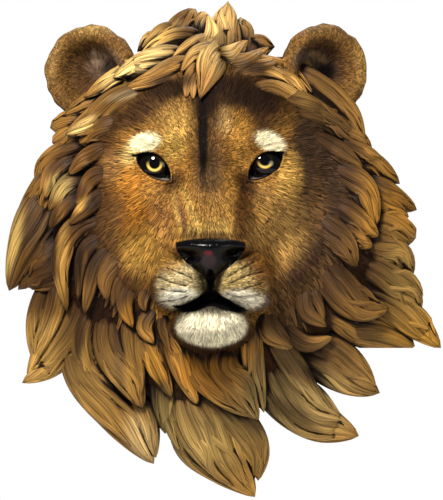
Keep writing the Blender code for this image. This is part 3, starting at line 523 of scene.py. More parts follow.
def ear_mesh(ear, sides, rings):
    """An ear warped from a ball, whose poles become the middles of the cup and of the back."""
    bm = bmesh.new()
    bmesh.ops.create_uvsphere(bm, u_segments=sides, v_segments=rings, radius=1.0)
    hair = bm.loops.layers.uv.new("hair")
    for face in bm.faces:
        middle = face.calc_center_median()
        facing = math.atan2(middle.y, middle.x)
        for loop in face.loops:
            co = loop.vert.co
            turn = math.remainder(math.atan2(co.y, co.x) - facing, math.tau) + facing
            if abs(co.z) > POLE:
                turn = facing
            run = math.acos(max(-1, min(1, co.z))) / math.pi
            loop[hair].uv = (turn * EAR_HAIR_RADIUS, run * EAR_HAIR_RUN)
    steps = np.linspace(0, 1, len(EAR_PROFILE))
    shares, outs = zip(*EAR_PROFILE)
    rough = random.Random(5)
    tufts = [rough.uniform(-1, 1) for _ in range(EAR_TUFTS)]
    for v in bm.verts:
        t = math.acos(max(-1.0, min(1.0, v.co.z))) / math.pi
        turn = math.atan2(v.co.y, v.co.x)
        share, out = np.interp(t, steps, shares), np.interp(t, steps, outs)
        # Clumps of hair stand up along the rim.
        clump = np.interp((turn / math.tau % 1.0) * EAR_TUFTS, range(EAR_TUFTS + 1), tufts + tufts[:1])
        share = share * (1 + EAR_TUFT_HEIGHT * clump * ease(t, 0.35, 0.6))
        # The outline is an egg, narrower towards the root.
        narrow = 1 - EAR_NARROWING * (math.cos(turn - ear.lean + math.pi / 2) + 1) / 2
        x = ear.half_wide * share * math.cos(turn) * narrow
        z = ear.half_high * share * math.sin(turn)
        across = x * math.cos(ear.turn) + out * math.sin(ear.turn)
        out = out * math.cos(ear.turn) - x * math.sin(ear.turn)
        v.co = (ear.across + across, ear.up + z, ear.out + out)
    return to_metres(bm)


for ear in EARS:
    new_form(ear.name, ear_mesh(ear, 72, 48), EAR, forms)

# The mane is combed into locks, each modelled in the clay as a tapering flame of several strands. A
# lock follows a path of given points from root to tip, lies on the dome and is lifted off it, at
# its root and at its tip. Thick is its thickness over its width, and blunt shapes the tip.
Lock = namedtuple("Lock", "name path width lift ridges thick blunt", defaults=(0.36, 0.72))
# Each row: name, path as across and up by turns, width, lift at the root and at the tip, strands,
# and where they aren't the usual ones, thick and blunt.
LOCK_ROWS = (
    # Below the chin, from the left drops round to the lower right tip.
    ("left_drop_outer", (-156, -125, -170, -170, -174, -213), 25, 0, 4, 2),
    ("left_drop_middle", (-142, -120, -156, -175, -181, -229), 27, 2, 7, 3),
    ("left_drop_inner", (-120, -135, -134, -183, -156, -214, -186, -233), 32, 2, 8, 3),
    ("lower_left_flame", (-112, -150, -119, -211, -90, -261, -54, -314), 58, 0, 4, 6),
    ("lower_left_edge", (-82, -232, -61, -268, -52, -308), 23, 3, 5, 2),
    ("gap_strand_left", (-52, -200, -44, -245, -43, -284), 30, -6, -2, 3),
    ("gap_strand_right", (-36, -225, -34, -268, -22, -308), 26, -4, 0, 3),
    ("lowest_flame", (-18, -212, -8, -262, 14, -302, 47, -347), 63, 0, 6, 6),
    ("lowest_flame_edge", (-36, -258, -22, -299, 9, -324, 46, -347), 22, 0, 3, 2),
    ("lowest_right_ridge", (12, -242, 39, -276, 51, -302, 50, -331), 27, 3, 7, 3),
    ("lowest_inner_ridge", (-8, -232, 22, -272, 46, -304, 47, -328), 24, 6, 9, 2),
    ("throat_flow_left", (-18, -192, -9, -222, 19, -248, 44, -267), 28, 6, 12, 3),
    ("throat_flow_middle", (17, -188, 15, -217, 31, -242, 51, -270), 40, 8, 12, 4),
    ("throat_flow_right", (45, -162, 44, -206, 56, -263), 26, 3, 7, 3),
    ("right_long_flame", (46, -187, 71, -234, 108, -269, 151, -286), 56, 0, 6, 6),
    ("right_long_fold", (54, -170, 81, -209, 101, -241, 129, -270), 27, 8, 10, 3),
    ("right_low_flame", (75, -191, 113, -212, 143, -230, 172, -243), 40, 0, 6, 4),
    ("right_low_fold", (100, -184, 130, -199, 151, -217, 168, -239), 25, 5, 8, 2),
    ("flat_cut_lock", (115, -165, 157, -181, 207, -196), 36, 0, 3, 3, 0.36, 0.5),
    ("right_tip_lock", (137, -138, 176, -154, 208, -175, 233, -198), 37, 3, 8, 4),
    # The right side, from the outer edge inwards to the cheek and the throat.
    ("right_outer_low", (140, -112, 174, -128, 197, -141, 214, -158), 38, 4, 8, 4),
    ("right_outer_bend", (142, -86, 172, -97, 193, -106, 205, -126), 32, 4, 5, 3),
    ("right_outer_blunt", (150, -70, 180, -77, 208, -88), 34, 5, 8, 4, 0.36, 0.45),
    ("right_outer_under", (150, -45, 177, -57, 201, -67), 26, 4, 6, 3),
    ("right_outer_spike", (155, -28, 181, -46, 209, -60), 28, 4, 9, 3),
    ("right_shoulder_low", (135, 2, 167, -15, 192, -34), 24, 3, 7, 3),
    ("right_shoulder_mid", (120, 10, 152, -2, 178, -14), 22, 5, 9, 3),
    ("right_shoulder_high", (115, 30, 142, 17, 164, 3), 22, 6, 9, 3),
    ("right_ear_sweep", (66, 88, 103, 66, 138, 40, 157, 8), 30, 8, 14, 3),
    ("right_brow_tuft", (52, 74, 80, 67, 101, 48), 24, 2, 11, 4),
    ("right_brow_sweep", (66, 56, 102, 43, 147, 17), 24, 2, 13, 3),
    ("right_brow_under", (77, 40, 117, 28, 145, 8), 22, 0, 9, 3),
    ("right_temple_sweep", (94, 14, 127, 0, 156, -20), 24, -2, 8, 3),
    ("right_curl_high", (115, -14, 153, -38, 169, -76), 32, 2, 14, 4),
    ("right_curl_mid", (120, -48, 150, -71, 171, -87), 26, 4, 12, 3),
    ("right_curl_low", (125, -72, 147, -88, 165, -97), 22, 3, 9, 2),
    ("right_cheek_tuft", (102, -64, 132, -90, 149, -117), 30, 2, 13, 4),
    ("right_cheek_curl", (108, -96, 128, -135, 153, -156, 181, -159), 40, 2, 16, 4),
    ("right_small_curl", (92, -130, 98, -161, 119, -177), 19, 2, 11, 2),
    ("right_small_twin", (104, -133, 110, -154, 116, -172), 13, 2, 9, 1),
    ("right_turned_curl", (70, -170, 96, -193, 126, -187), 20, 4, 10, 2),
    ("right_throat_lock", (46, -152, 62, -180, 85, -199), 28, 0, 8, 3),
    ("right_under_strand", (106, -146, 136, -174, 158, -196), 28, -3, 2, 3),
    # The left side, from the outer edge inwards to the jaw and the throat.
    ("left_outer_flame", (-144, -34, -167, -64, -183, -100, -199, -141), 46, 2, 8, 6),
    ("left_outer_upper", (-146, -8, -167, -36, -191, -66), 22, 4, 6, 3),
    ("left_outer_under", (-144, -83, -164, -111, -190, -140), 30, -4, 0, 3),
    ("left_gap_fill", (-134, -98, -158, -120, -181, -137), 38, -2, -1, 3),
    ("left_temple_drop", (-106, 13, -140, 0, -162, -14, -173, -31), 24, 5, 8, 3),
    ("left_temple_inner", (-128, -4, -153, -25, -163, -50), 20, 4, 12, 2),
    ("left_side_fill", (-116, 4, -147, -25, -168, -66), 36, -3, 2, 4),
    ("left_mid_curl", (-114, -27, -140, -36, -160, -62), 24, 3, 14, 3),
    ("left_mid_curl_low", (-118, -45, -142, -57, -159, -80), 20, 2, 11, 2),
    ("left_tuft_high", (-98, 3, -120, -7, -140, -25), 20, 4, 14, 2),
    ("left_tuft_mid", (-98, -19, -117, -30, -132, -56), 19, 3, 15, 2),
    ("left_tuft_low", (-98, -41, -119, -55, -139, -75), 20, 3, 14, 2),
    ("left_long_curl", (-94, -68, -131, -78, -147, -112, -141, -162), 25, 3, 14, 4),
    ("left_inner_strand", (-98, -82, -123, -103, -130, -151), 19, 0, 6, 2),
    ("left_jaw_strand", (-88, -90, -112, -120, -124, -165), 20, 0, 10, 2),
    ("left_jaw_tuft_a", (-81, -104, -101, -125, -101, -151), 20, 2, 12, 2),
    ("left_jaw_tuft_b", (-81, -117, -91, -138, -95, -157), 14, 2, 9, 1),
    ("left_jaw_tuft_c", (-68, -124, -83, -153, -75, -178), 19, 2, 13, 2),
    ("left_jaw_tuft_d", (-56, -129, -64, -148, -63, -162), 14, 2, 8, 2),
    ("left_throat_tuft", (-51, -149, -63, -175, -54, -194), 20, 2, 10, 2),
    ("left_inner_flame", (-96, -150, -95, -196, -79, -228, -65, -258), 40, 5, 12, 4),
    ("left_inner_fold", (-78, -163, -75, -195, -64, -240), 22, 5, 8, 2),
    ("left_ridge_fill", (-116, -150, -124, -196, -108, -246), 28, 3, 4, 3),
    ("throat_left_flow", (-62, -166, -54, -205, -36, -248), 28, 2, 6, 3),
    ("throat_centre_flow", (-42, -168, -28, -212, -10, -256), 27, 2, 6, 3),
    ("throat_beside_chin", (-42, -148, -39, -180, -24, -216), 24, -3, 5, 3),
    # The crest, the forelock and the sweeps over the forehead and the ears.
    ("crest_spike", (13, 84, 17, 117, 20, 149), 36, 4, 20, 4, 0.4, 0.95),
    ("crest_spike_left", (-4, 96, 4, 115, 0, 136), 19, 9, 26, 2, 0.34, 0.95),
    ("crest_back_tuft", (-34, 100, -27, 120, -12, 141), 32, -4, -2, 5, 0.4, 0.65),
    ("crest_back_fan", (-50, 94, -43, 110, -29, 128), 26, -3, 0, 4, 0.4, 0.65),
    ("crest_back_strand", (-10, 110, -6, 128, -4, 139), 22, -2, 2, 4, 0.34, 0.95),
    ("crest_back_left", (-40, 100, -56, 110, -71, 98), 22, 2, 2, 3, 0.34, 0.95),
    ("crest_back_right", (26, 102, 34, 118, 32, 133), 28, 2, 6, 3, 0.34, 0.95),
    ("crest_far_right", (40, 96, 52, 104, 67, 103), 28, 1, 0, 3, 0.34, 0.95),
    ("crest_front_a", (8, 92, 24, 96, 40, 110), 21, 7, 26, 3, 0.34, 0.8),
    ("crest_front_b", (16, 86, 40, 88, 61, 103), 21, 4, 23, 3, 0.34, 0.8),
    ("crest_front_c", (28, 82, 54, 82, 75, 93), 19, 2, 20, 3, 0.34, 0.8),
    ("forelock", (16, 114, 3, 97, -4, 76, -8, 50), 24, 12, 4, 3, 0.34, 0.95),
    ("forelock_right", (16, 90, 4, 74, -7, 52), 18, 10, 4, 2, 0.34, 0.95),
    ("forelock_strand", (-8, 88, -18, 72, -22, 51), 14, 9, 3, 2),
    ("forelock_thin", (-12, 82, -14, 65, -15, 50), 10, 8, 3, 1),
    ("crest_left_a", (5, 111, -18, 102, -38, 89), 20, 17, 10, 2, 0.34, 0.95),
    ("crest_left_b", (10, 102, -12, 95, -28, 77), 20, 13, 8, 2, 0.34, 0.95),
    ("crest_left_c", (-4, 112, -28, 112, -52, 102, -75, 84), 23, 10, 26, 3, 0.34, 0.8),
    ("crest_left_d", (-28, 120, -48, 116, -68, 99), 20, 6, 12, 2, 0.34, 0.95),
    ("crest_left_e", (-18, 92, -44, 92, -70, 85, -95, 72), 27, 7, 30, 4, 0.34, 0.8),
    ("crest_left_f", (-46, 80, -74, 77, -100, 67, -125, 52), 25, 6, 30, 3, 0.34, 0.8),
    ("crest_left_g", (-76, 62, -112, 50, -145, 34), 26, 5, 22, 3, 0.34, 0.8),
    ("crest_left_h", (-106, 42, -131, 31, -158, 22), 25, 8, 12, 3, 0.36, 0.5),
    ("crest_left_i", (-112, 28, -134, 17, -156, 7), 22, 5, 8, 2, 0.36, 0.45),
    ("brow_band_left", (-48, 65, -90, 48, -118, 28, -143, 15), 30, 1, 20, 4),
    ("forehead_left_a", (2, 78, -28, 84, -58, 70, -82, 62), 22, 2, 12, 3),
    ("forehead_right_sweep", (16, 78, 46, 85, 80, 78, 106, 54), 22, 1, 11, 3),
    ("forehead_right_a", (14, 68, 46, 77, 74, 70, 97, 50), 20, -1, 8, 3),
    ("forehead_right_b", (34, 54, 60, 62, 86, 54, 108, 38), 18, -1, 7, 2),
    ("brow_band_under", (-82, 33, -108, 18, -130, 6), 26, -2, 8, 3),
)
LOCKS = [Lock(name, list(zip(path[::2], path[1::2])), width, (at_root, at_tip), *rest)
         for name, path, width, at_root, at_tip, *rest in LOCK_ROWS]
FLAT_CUT = ("flat_cut_lock", -198.0)    # this lock ends straight, at this height
RIDGE_SHARE = 0.085    # depth of the grooves between the strands, as a share of the lock's width
WANDER = 0.18          # how far the strands wander sideways over a lock, in radians
BACK_SHARE = 0.9       # thickness of a lock behind its path, as a share of that in front of it
ROOT_SINK = 0.6        # how deep the root is sunk, as a share of the lock's width
ROOT_SLOPE = 2.4       # how soon a lock comes up from its root, higher for sooner
ROOT_SHARE = 0.42      # how slowly a lock widens from its root
LOWEST_OUT = 7.0       # no lock's path comes nearer to the wall
PATH_STEP = 0.02       # share of a path over which its direction is taken
WANDER_TURNS, SWELL_TURNS = 1.1, 0.9          # waves of wander and of swelling over a lock's length
STRAND_SWELL = 0.3                            # how much a strand swells and thins
STRAND_ROUNDNESS, STRAND_MIDDLE = 0.7, 0.72   # shape of a strand's back, and its mean height
SWELL_SHARE = 0.38                            # how much of a strand's height swells


def smooth_path(points, t):
    """A smooth curve through a few points, at shares t of its length."""
    p = np.array(points, float)
    p = np.vstack([2 * p[0] - p[1], p, 2 * p[-1] - p[-2]])
    at = np.clip(t, 0, 1) * (len(points) - 1)
    i = np.minimum(at.astype(int), len(points) - 2)
    f = (at - i)[:, None]
    a, b, c, d = p[i], p[i + 1], p[i + 2], p[i + 3]
    return 0.5 * (2 * b + (c - a) * f + (2 * a - 5 * b + 4 * c - d) * f ** 2
                  + (3 * b - a - 3 * c + d) * f ** 3)


def taper(width, blunt, t):
    """Half-width of a lock or wisp along its length, widest before the middle."""
    full = ROOT_SHARE / (ROOT_SHARE + blunt)
    shape = np.clip(t, 0, 1) ** ROOT_SHARE * np.clip(1 - t, 0, 1) ** blunt
    return width / 2 * shape / (full ** ROOT_SHARE * (1 - full) ** blunt)


def lock_points(lock, t, turn, ridges, number, ground):
    """Places on a lock's skin, at shares t of its length and angles turn from the middle of its front."""
    path = smooth_path(lock.path, t)
    sunk = ROOT_SINK * lock.width * (1 - t) ** ROOT_SLOPE
    lift = lock.lift[0] + (lock.lift[1] - lock.lift[0]) * t - sunk
    out = np.maximum(ground(path[:, 0], path[:, 1]) + lift, LOWEST_OUT)
    ahead, behind = smooth_path(lock.path, t + PATH_STEP), smooth_path(lock.path, t - PATH_STEP)
    run = np.column_stack([ahead - behind, ground(*ahead.T) - ground(*behind.T)])
    run /= np.linalg.norm(run, axis=1)[:, None]
    right = np.column_stack([run[:, 1], -run[:, 0], np.zeros(len(t))])
    right /= np.linalg.norm(right, axis=1)[:, None]
    front = np.cross(right, run)
    half = taper(lock.width, lock.blunt, t)
    # The strands wander a little over the lock, and each swells and thins in its own places.
    wander = WANDER * np.cos(turn) * np.sin(math.tau * WANDER_TURNS * t + 2.1 * number)
    lean = turn + wander
    side, height = np.sin(lean), np.cos(lean)
    strand = ridges * np.clip(turn / math.pi + 0.5, 0, 1)
    swell = 1 + STRAND_SWELL * np.sin(2.4 * np.floor(strand) + math.tau * SWELL_TURNS * t + number)
    comb = np.abs(np.sin(math.pi * strand)) ** STRAND_ROUNDNESS
    comb = comb * (1 - SWELL_SHARE + SWELL_SHARE * swell) - STRAND_MIDDLE
    comb = comb * RIDGE_SHARE * 2 * half * np.clip(np.cos(turn) * 3, 0, 1)
    rise = half * 2 * lock.thick * np.where(height > 0, height, BACK_SHARE * height) + comb
    centre = np.column_stack([path, out])
    return centre + right * (half * side)[:, None] + front * rise[:, None]


def path_length(points):
    return sum(math.dist(a, b) for a, b in zip(points, points[1:]))


MAP_APART, STRANDS_APART = 90, 16    # keep one lock's hairs and strands apart from the next one's


def hair_form(skin, length, width, number, ridges, facets, span=(0.0, 1.0), flat_cut=None):
    """A closed, pointed form warped from a sphere whose poles become root and tip. Skin gives its
    places at shares of its length and angles round it. Facets are those across its front, across its
    back and along it. Span is the part of the lock's length that it covers."""
    front_steps, back_steps, along = facets
    sides = front_steps + back_steps
    bm = bmesh.new()
    bmesh.ops.create_uvsphere(bm, u_segments=sides, v_segments=along, radius=1.0)
    bm.verts.index_update()
    ball = np.array([v.co for v in bm.verts])
    t = np.arccos(np.clip(ball[:, 2], -1, 1)) / math.pi
    # The front of the lock has its own share of the facets, so its strands fall on the edges.
    place_round = (np.arctan2(ball[:, 1], ball[:, 0]) / math.tau % 1.0) * sides
    front = (place_round / front_steps - 0.5) * math.pi
    back = ((place_round - front_steps) / back_steps + 0.5) * math.pi
    turn = np.where(place_round <= front_steps + 0.01, front, back)
    # One map holds the place across and along the hair, the other the strand's number and the share
    # of the lock's length, for the strand's tone and its groove.
    hair, strand = bm.loops.layers.uv.new("hair"), bm.loops.layers.uv.new("strand")
    share = np.clip(turn / math.pi + 0.5, 0, 1)
    for face in bm.faces:
        shares = [share[loop.vert.index] for loop in face.loops if abs(loop.vert.co.z) < POLE]
        middle = sum(shares) / len(shares)
        for loop in face.loops:
            at_pole = abs(loop.vert.co.z) > POLE
            s = middle if at_pole else share[loop.vert.index]
            if abs(s - middle) > 0.5:
                s = 1.0 - s
            run = t[loop.vert.index]
            loop[hair].uv = (s * width + MAP_APART * number, run * length)
            loop[strand].uv = (s * ridges + STRANDS_APART * number, span[0] + (span[1] - span[0]) * run)
    for v, point in zip(bm.verts, skin(t, turn)):
        v.co = point
    if flat_cut is not None:
        everything = list(bm.verts) + list(bm.edges) + list(bm.faces)
        cut = bmesh.ops.bisect_plane(bm, geom=everything, plane_co=(0, flat_cut, 0),
                                     plane_no=(0, -1, 0), clear_outer=True)["geom_cut"]
        bmesh.ops.contextual_create(bm, geom=[g for g in cut if isinstance(g, bmesh.types.BMEdge)])
    return to_metres(bm)


Wisp = namedtuple("Wisp", "start finish side drift width")
WISP_SWAY = 0.12                           # how far a wisp sways sideways
WISP_LIFT, WISP_ROOT_SINK = 0.22, 0.25     # shares of its width by which it stands up and is sunk
WISP_BLUNT, WISP_THICK = 0.8, 0.95


def wisp_points(lock, wisp, t, turn):
    """Places on the skin of a thin wisp that lies on its lock and crosses it a little."""
    def on_lock(share, side):
        return lock_points(lock, share, side * math.pi / 2, 0, 0, scalp_out)

    share = wisp.start + (wisp.finish - wisp.start) * t
    side = wisp.side + wisp.drift * (t - 0.5) + WISP_SWAY * np.sin(math.tau * t + 9 * wisp.side)
    later = side + wisp.drift * 0.01 / (wisp.finish - wisp.start)
    centre = on_lock(share, side)
    run = on_lock(share + 0.01, later) - on_lock(share - 0.01, 2 * side - later)
    run /= np.linalg.norm(run, axis=1)[:, None] + 1e-9
    right = on_lock(share, side + 0.05) - on_lock(share, side - 0.05)
    front = np.cross(right, run)
    front /= np.linalg.norm(front, axis=1)[:, None] + 1e-9
    right = np.cross(run, front)
    half = taper(wisp.width, WISP_BLUNT, t)
    lift = wisp.width * (WISP_LIFT * ease(t, 0.1, 0.9) - WISP_ROOT_SINK * (1 - t) ** 3)
    rise = half * WISP_THICK * np.cos(turn) + lift
    return centre + right * (half * np.sin(turn))[:, None] + front * rise[:, None]


def steps_along(length, step, fewest, most):
    return int(min(max(round(length / step), fewest), most))


for number, lock in enumerate(LOCKS):
    def skin(t, turn):
        return lock_points(lock, t, turn, lock.ridges, number, scalp_out)

    length = path_length(lock.path)
    facets = (5 * lock.ridges + 5, 5, steps_along(length, 6.0, 11, 30))
    cut = FLAT_CUT[1] if lock.name == FLAT_CUT[0] else None
    lock_form = hair_form(skin, length, lock.width, number, lock.ridges, facets, flat_cut=cut)
    new_form(lock.name, lock_form, MANE, forms)

# Thin wisps are laid over the locks, so that no lock looks like its neighbour. The outermost lock
# stays bare, so that the head keeps its width.
OUTERMOST_LOCK = "left_outer_flame"
NARROW_LOCK, BROAD_LOCK = 22, 34
rough = random.Random(12)
number = len(LOCKS)
for lock in LOCKS:
    if lock.name == FLAT_CUT[0] or lock.width < NARROW_LOCK:
        continue
    for side in (-0.3, 0.4) if lock.width < BROAD_LOCK else (-0.5, 0.0, 0.5):
        wisp = Wisp(rough.uniform(0.2, 0.45), rough.uniform(0.8, 0.92), side + rough.uniform(-0.15, 0.15),
                    rough.uniform(-0.3, 0.3), lock.width * rough.uniform(0.14, 0.21))
        if lock.name == OUTERMOST_LOCK:
            number += 1
            continue

        def skin(t, turn):
            return wisp_points(lock, wisp, t, turn)

        length = path_length(lock.path) * (wisp.finish - wisp.start)
        facets = (6, 3, steps_along(length, 7.0, 8, 18))
        wisp_form = hair_form(skin, length, wisp.width, number, 1, facets, (wisp.start, wisp.finish))
        new_form("wisp", wisp_form, MANE, forms)
        number += 1

# Where the face meets the mane, small pointed tufts lie over the roots of the locks.
LEFT_RUFF = ((-63, 75), (-88, 50), (-103, 20), (-110, -10), (-112, -40),
             (-108, -70), (-98, -100), (-86, -125), (-72, -150), (-56, -172))
RIGHT_RUFF = ((54, 72), (87, 52), (110, 22), (122, -8), (128, -38),
              (126, -68), (115, -98), (99, -125), (80, -150), (58, -176))
RUFF_ROWS = ((-9, 0.042, (-2, 1)), (1, 0.045, (-2, 2)))    # how far out, how far apart, lift of each row
RUFF_DROOP = 0.35     # how much the tufts are combed down, once at the top and twice at the foot
TUFT_DROOP = 0.22     # how much a tuft's tip hangs, as a share of its length


def ruff_tuft(middle, away, reach, width, lift):
    """A small tuft from a point on the edge of the face, combed outwards and down."""
    down = Vector((0, -1))
    path = (middle, middle + away * reach * 0.5, middle + away * reach * 0.85 + down * reach * TUFT_DROOP)
    return Lock("ruff_tuft", tuple(tuple(p) for p in path), width, lift, 2, 0.42, 0.9)


for contour in (LEFT_RUFF, RIGHT_RUFF):
    for row, (inset, spacing, lift) in enumerate(RUFF_ROWS):
        for at in np.arange(0.02 + 0.01 * row, 0.99, spacing):
            here, ahead = (Vector(smooth_path(contour, np.array([at + step]))[0]) for step in (-0.01, 0.01))
            along_edge = (ahead - here).normalized()
            away = Vector((along_edge.y, -along_edge.x))
            if away.dot(here - Vector((FACE_AXIS, -40))) < 0:
                away = -away
            droop = Vector((0, -RUFF_DROOP - RUFF_DROOP * at))
            away = (away + droop + along_edge * rough.uniform(-0.2, 0.2)).normalized()
            root = here + away * (inset + rough.uniform(-3, 3))
            tuft = ruff_tuft(root, away, rough.uniform(30, 46), rough.uniform(5.5, 9), lift)

            def skin(t, turn):
                return lock_points(tuft, t, turn, tuft.ridges, number, head_out)

            tuft_form = hair_form(skin, path_length(tuft.path), tuft.width, number, tuft.ridges, (8, 4, 9))
            new_form("ruff_tuft", tuft_form, MANE, forms)
            number += 1

# The casting comes out of the mould as one piece, with a flat back that lies on the wall and a
# keyhole in it for the screw it hangs on.
KEYHOLE_ENTRY_DIAMETER = 0.011
KEYHOLE_SLOT_WIDTH = 0.0055
KEYHOLE_POCKET_WIDTH = 0.0104
KEYHOLE_TRAVEL = 0.016
KEYHOLE_LIP = 0.0035
KEYHOLE_DEPTH = 0.011
KEYHOLE_POCKET_DEPTH = 0.0106
KEYHOLE_ABOVE_ORIGIN = 0.012
ROUND_SEGMENTS = 24


def prism(width, low, high, front, back):
    """A straight-sided slot with round ends, in the wall's plane, cut from front to back."""
    bm = bmesh.new()
    half_step = Matrix.Rotation(math.pi / ROUND_SEGMENTS, 4, "Z")
    made = bmesh.ops.create_circle(bm, cap_ends=True, segments=ROUND_SEGMENTS, radius=width / 2,
                                   matrix=half_step)
    for v in made["verts"]:
        x, rise = v.co.x, v.co.y
        v.co = (x, front, rise + (high if rise > 0 else low))
    grown = bmesh.ops.extrude_face_region(bm, geom=list(bm.faces))["geom"]
    for v in (g for g in grown if isinstance(g, bmesh.types.BMVert)):
        v.co.y = back
    bmesh.ops.recalc_face_normals(bm, faces=bm.faces)
    return bm


behind_wall_face = bmesh.new()
bmesh.ops.create_cube(behind_wall_face, size=1.0)
for v in behind_wall_face.verts:
    v.co = (v.co.x, (v.co.y + 0.5) * BACK_OVERCUT, v.co.z - 0.1)
entry, end = KEYHOLE_ABOVE_ORIGIN, KEYHOLE_ABOVE_ORIGIN + KEYHOLE_TRAVEL
behind_lip = -(KEYHOLE_LIP + KEYHOLE_POCKET_DEPTH) / 2
back_cutters = bpy.data.collections.new("back_cutters")
bpy.context.scene.collection.children.link(back_cutters)
new_form("wall_side", behind_wall_face, FUR, back_cutters)
outside = BACK_OVERCUT / 2
for name, width, top, front, back in (
        ("keyhole_entry", KEYHOLE_ENTRY_DIAMETER, entry, outside, -KEYHOLE_DEPTH),
        ("keyhole_slot", KEYHOLE_SLOT_WIDTH, end, outside, behind_lip),
        ("keyhole_pocket", KEYHOLE_POCKET_WIDTH, end, -KEYHOLE_LIP, -KEYHOLE_POCKET_DEPTH)):
    new_form(name, prism(width, entry, top, front, back), FUR, back_cutters)


def keep_largest(mesh):
    """Removes the crumbs that the fusing leaves, so that only the casting itself is kept."""
    bm = bmesh.new()
    bm.from_mesh(mesh)
    waiting, bodies = set(bm.verts), []
    while waiting:
        body, edge = [], [waiting.pop()]
        while edge:
            v = edge.pop()
            body.append(v)
            near = {e.other_vert(v) for e in v.link_edges} & waiting
            waiting -= near
            edge.extend(near)
        bodies.append(body)
    bodies.sort(key=len)
    for crumb in bodies[:-1]:
        bmesh.ops.delete(bm, geom=crumb, context="VERTS")
    bm.to_mesh(mesh)
    bm.free()


for name, operation, collection in (("fuse_forms", "UNION", forms),
                                    ("cut_back", "DIFFERENCE", back_cutters)):
    step = casting.modifiers.new(name, "BOOLEAN")
    step.operation = operation
    step.operand_type = "COLLECTION"
    step.collection = collection
    step.solver = "MANIFOLD"
fused = bpy.data.meshes.new_from_object(casting.evaluated_get(bpy.context.evaluated_depsgraph_get()))
casting.modifiers.clear()
casting.data = fused
keep_largest(fused)
for collection in (forms, back_cutters):
    for obj in list(collection.objects):
        bpy.data.objects.remove(obj)
    bpy.data.collections.remove(collection)


# The paint goes on in thin washes: a soft patch of colour each, centred on the grid. They are laid one over
# another, some of them painted shade and some painted highlights; the deep places get a dark brown painted
# shade.
def grid_places(mesh):
    """The mesh's points on the grid."""
    co = np.empty(len(mesh.vertices) * 3)
    mesh.vertices.foreach_get("co", co)
    co = co.reshape(-1, 3) / UNIT
    out = -co[:, 1]
    draw_in = 1 - out * UNIT / VIEW_DISTANCE
    across = VIEW_CENTRE[0] + (co[:, 0] - VIEW_CENTRE[0]) / draw_in
    up = VIEW_CENTRE[1] + (co[:, 2] - VIEW_CENTRE[1]) / draw_in
    return across, up, out


def store(mesh, name, values):
    """Keeps one number for each point of the mesh."""
    layer = mesh.attributes.new(name, "FLOAT", "POINT")
    layer.data.foreach_set("value", np.asarray(values, np.float32))


# How closed in each point is, for the painted shade that the finishes lay in the deep places.
SHELTER_RAYS, SHELTER_REACH = 14, 0.032
RAY_START = 0.0004    # metres off the surface
FAR_SHARE = 0.4       # how much of a near thing's shelter a thing at the end of the reach gives


def shelter(mesh):
    """How closed in each point is, from 0 in the open to 1 in a deep groove."""
    rays, reach = SHELTER_RAYS, SHELTER_REACH
    tree = BVHTree.FromPolygons([v.co for v in mesh.vertices], [p.vertices[:] for p in mesh.polygons])
    golden = math.pi * (3 - math.sqrt(5))
    fan = []
    for i in range(rays):
        height = math.sqrt((i + 0.5) / rays)
        flat = math.sqrt(1 - height * height)
        fan.append((flat * math.cos(i * golden), flat * math.sin(i * golden), height))
    normals = [n.vector for n in mesh.vertex_normals]
    closed = np.zeros(len(mesh.vertices))
    for i, vertex in enumerate(mesh.vertices):
        normal = normals[i]
        side = normal.orthogonal().normalized()
        other = normal.cross(side)
        start = vertex.co + normal * RAY_START
        for x, y, z in fan:
            found = tree.ray_cast(start, side * x + other * y + normal * z, reach)
            if found[0] is not None:
                closed[i] += 1 - (1 - FAR_SHARE) * found[3] / reach
    return closed / rays


def srgb(*levels):
    """A colour from its 0 to 255 levels."""
    return np.array([(c / 255) ** 2.2 for c in levels])


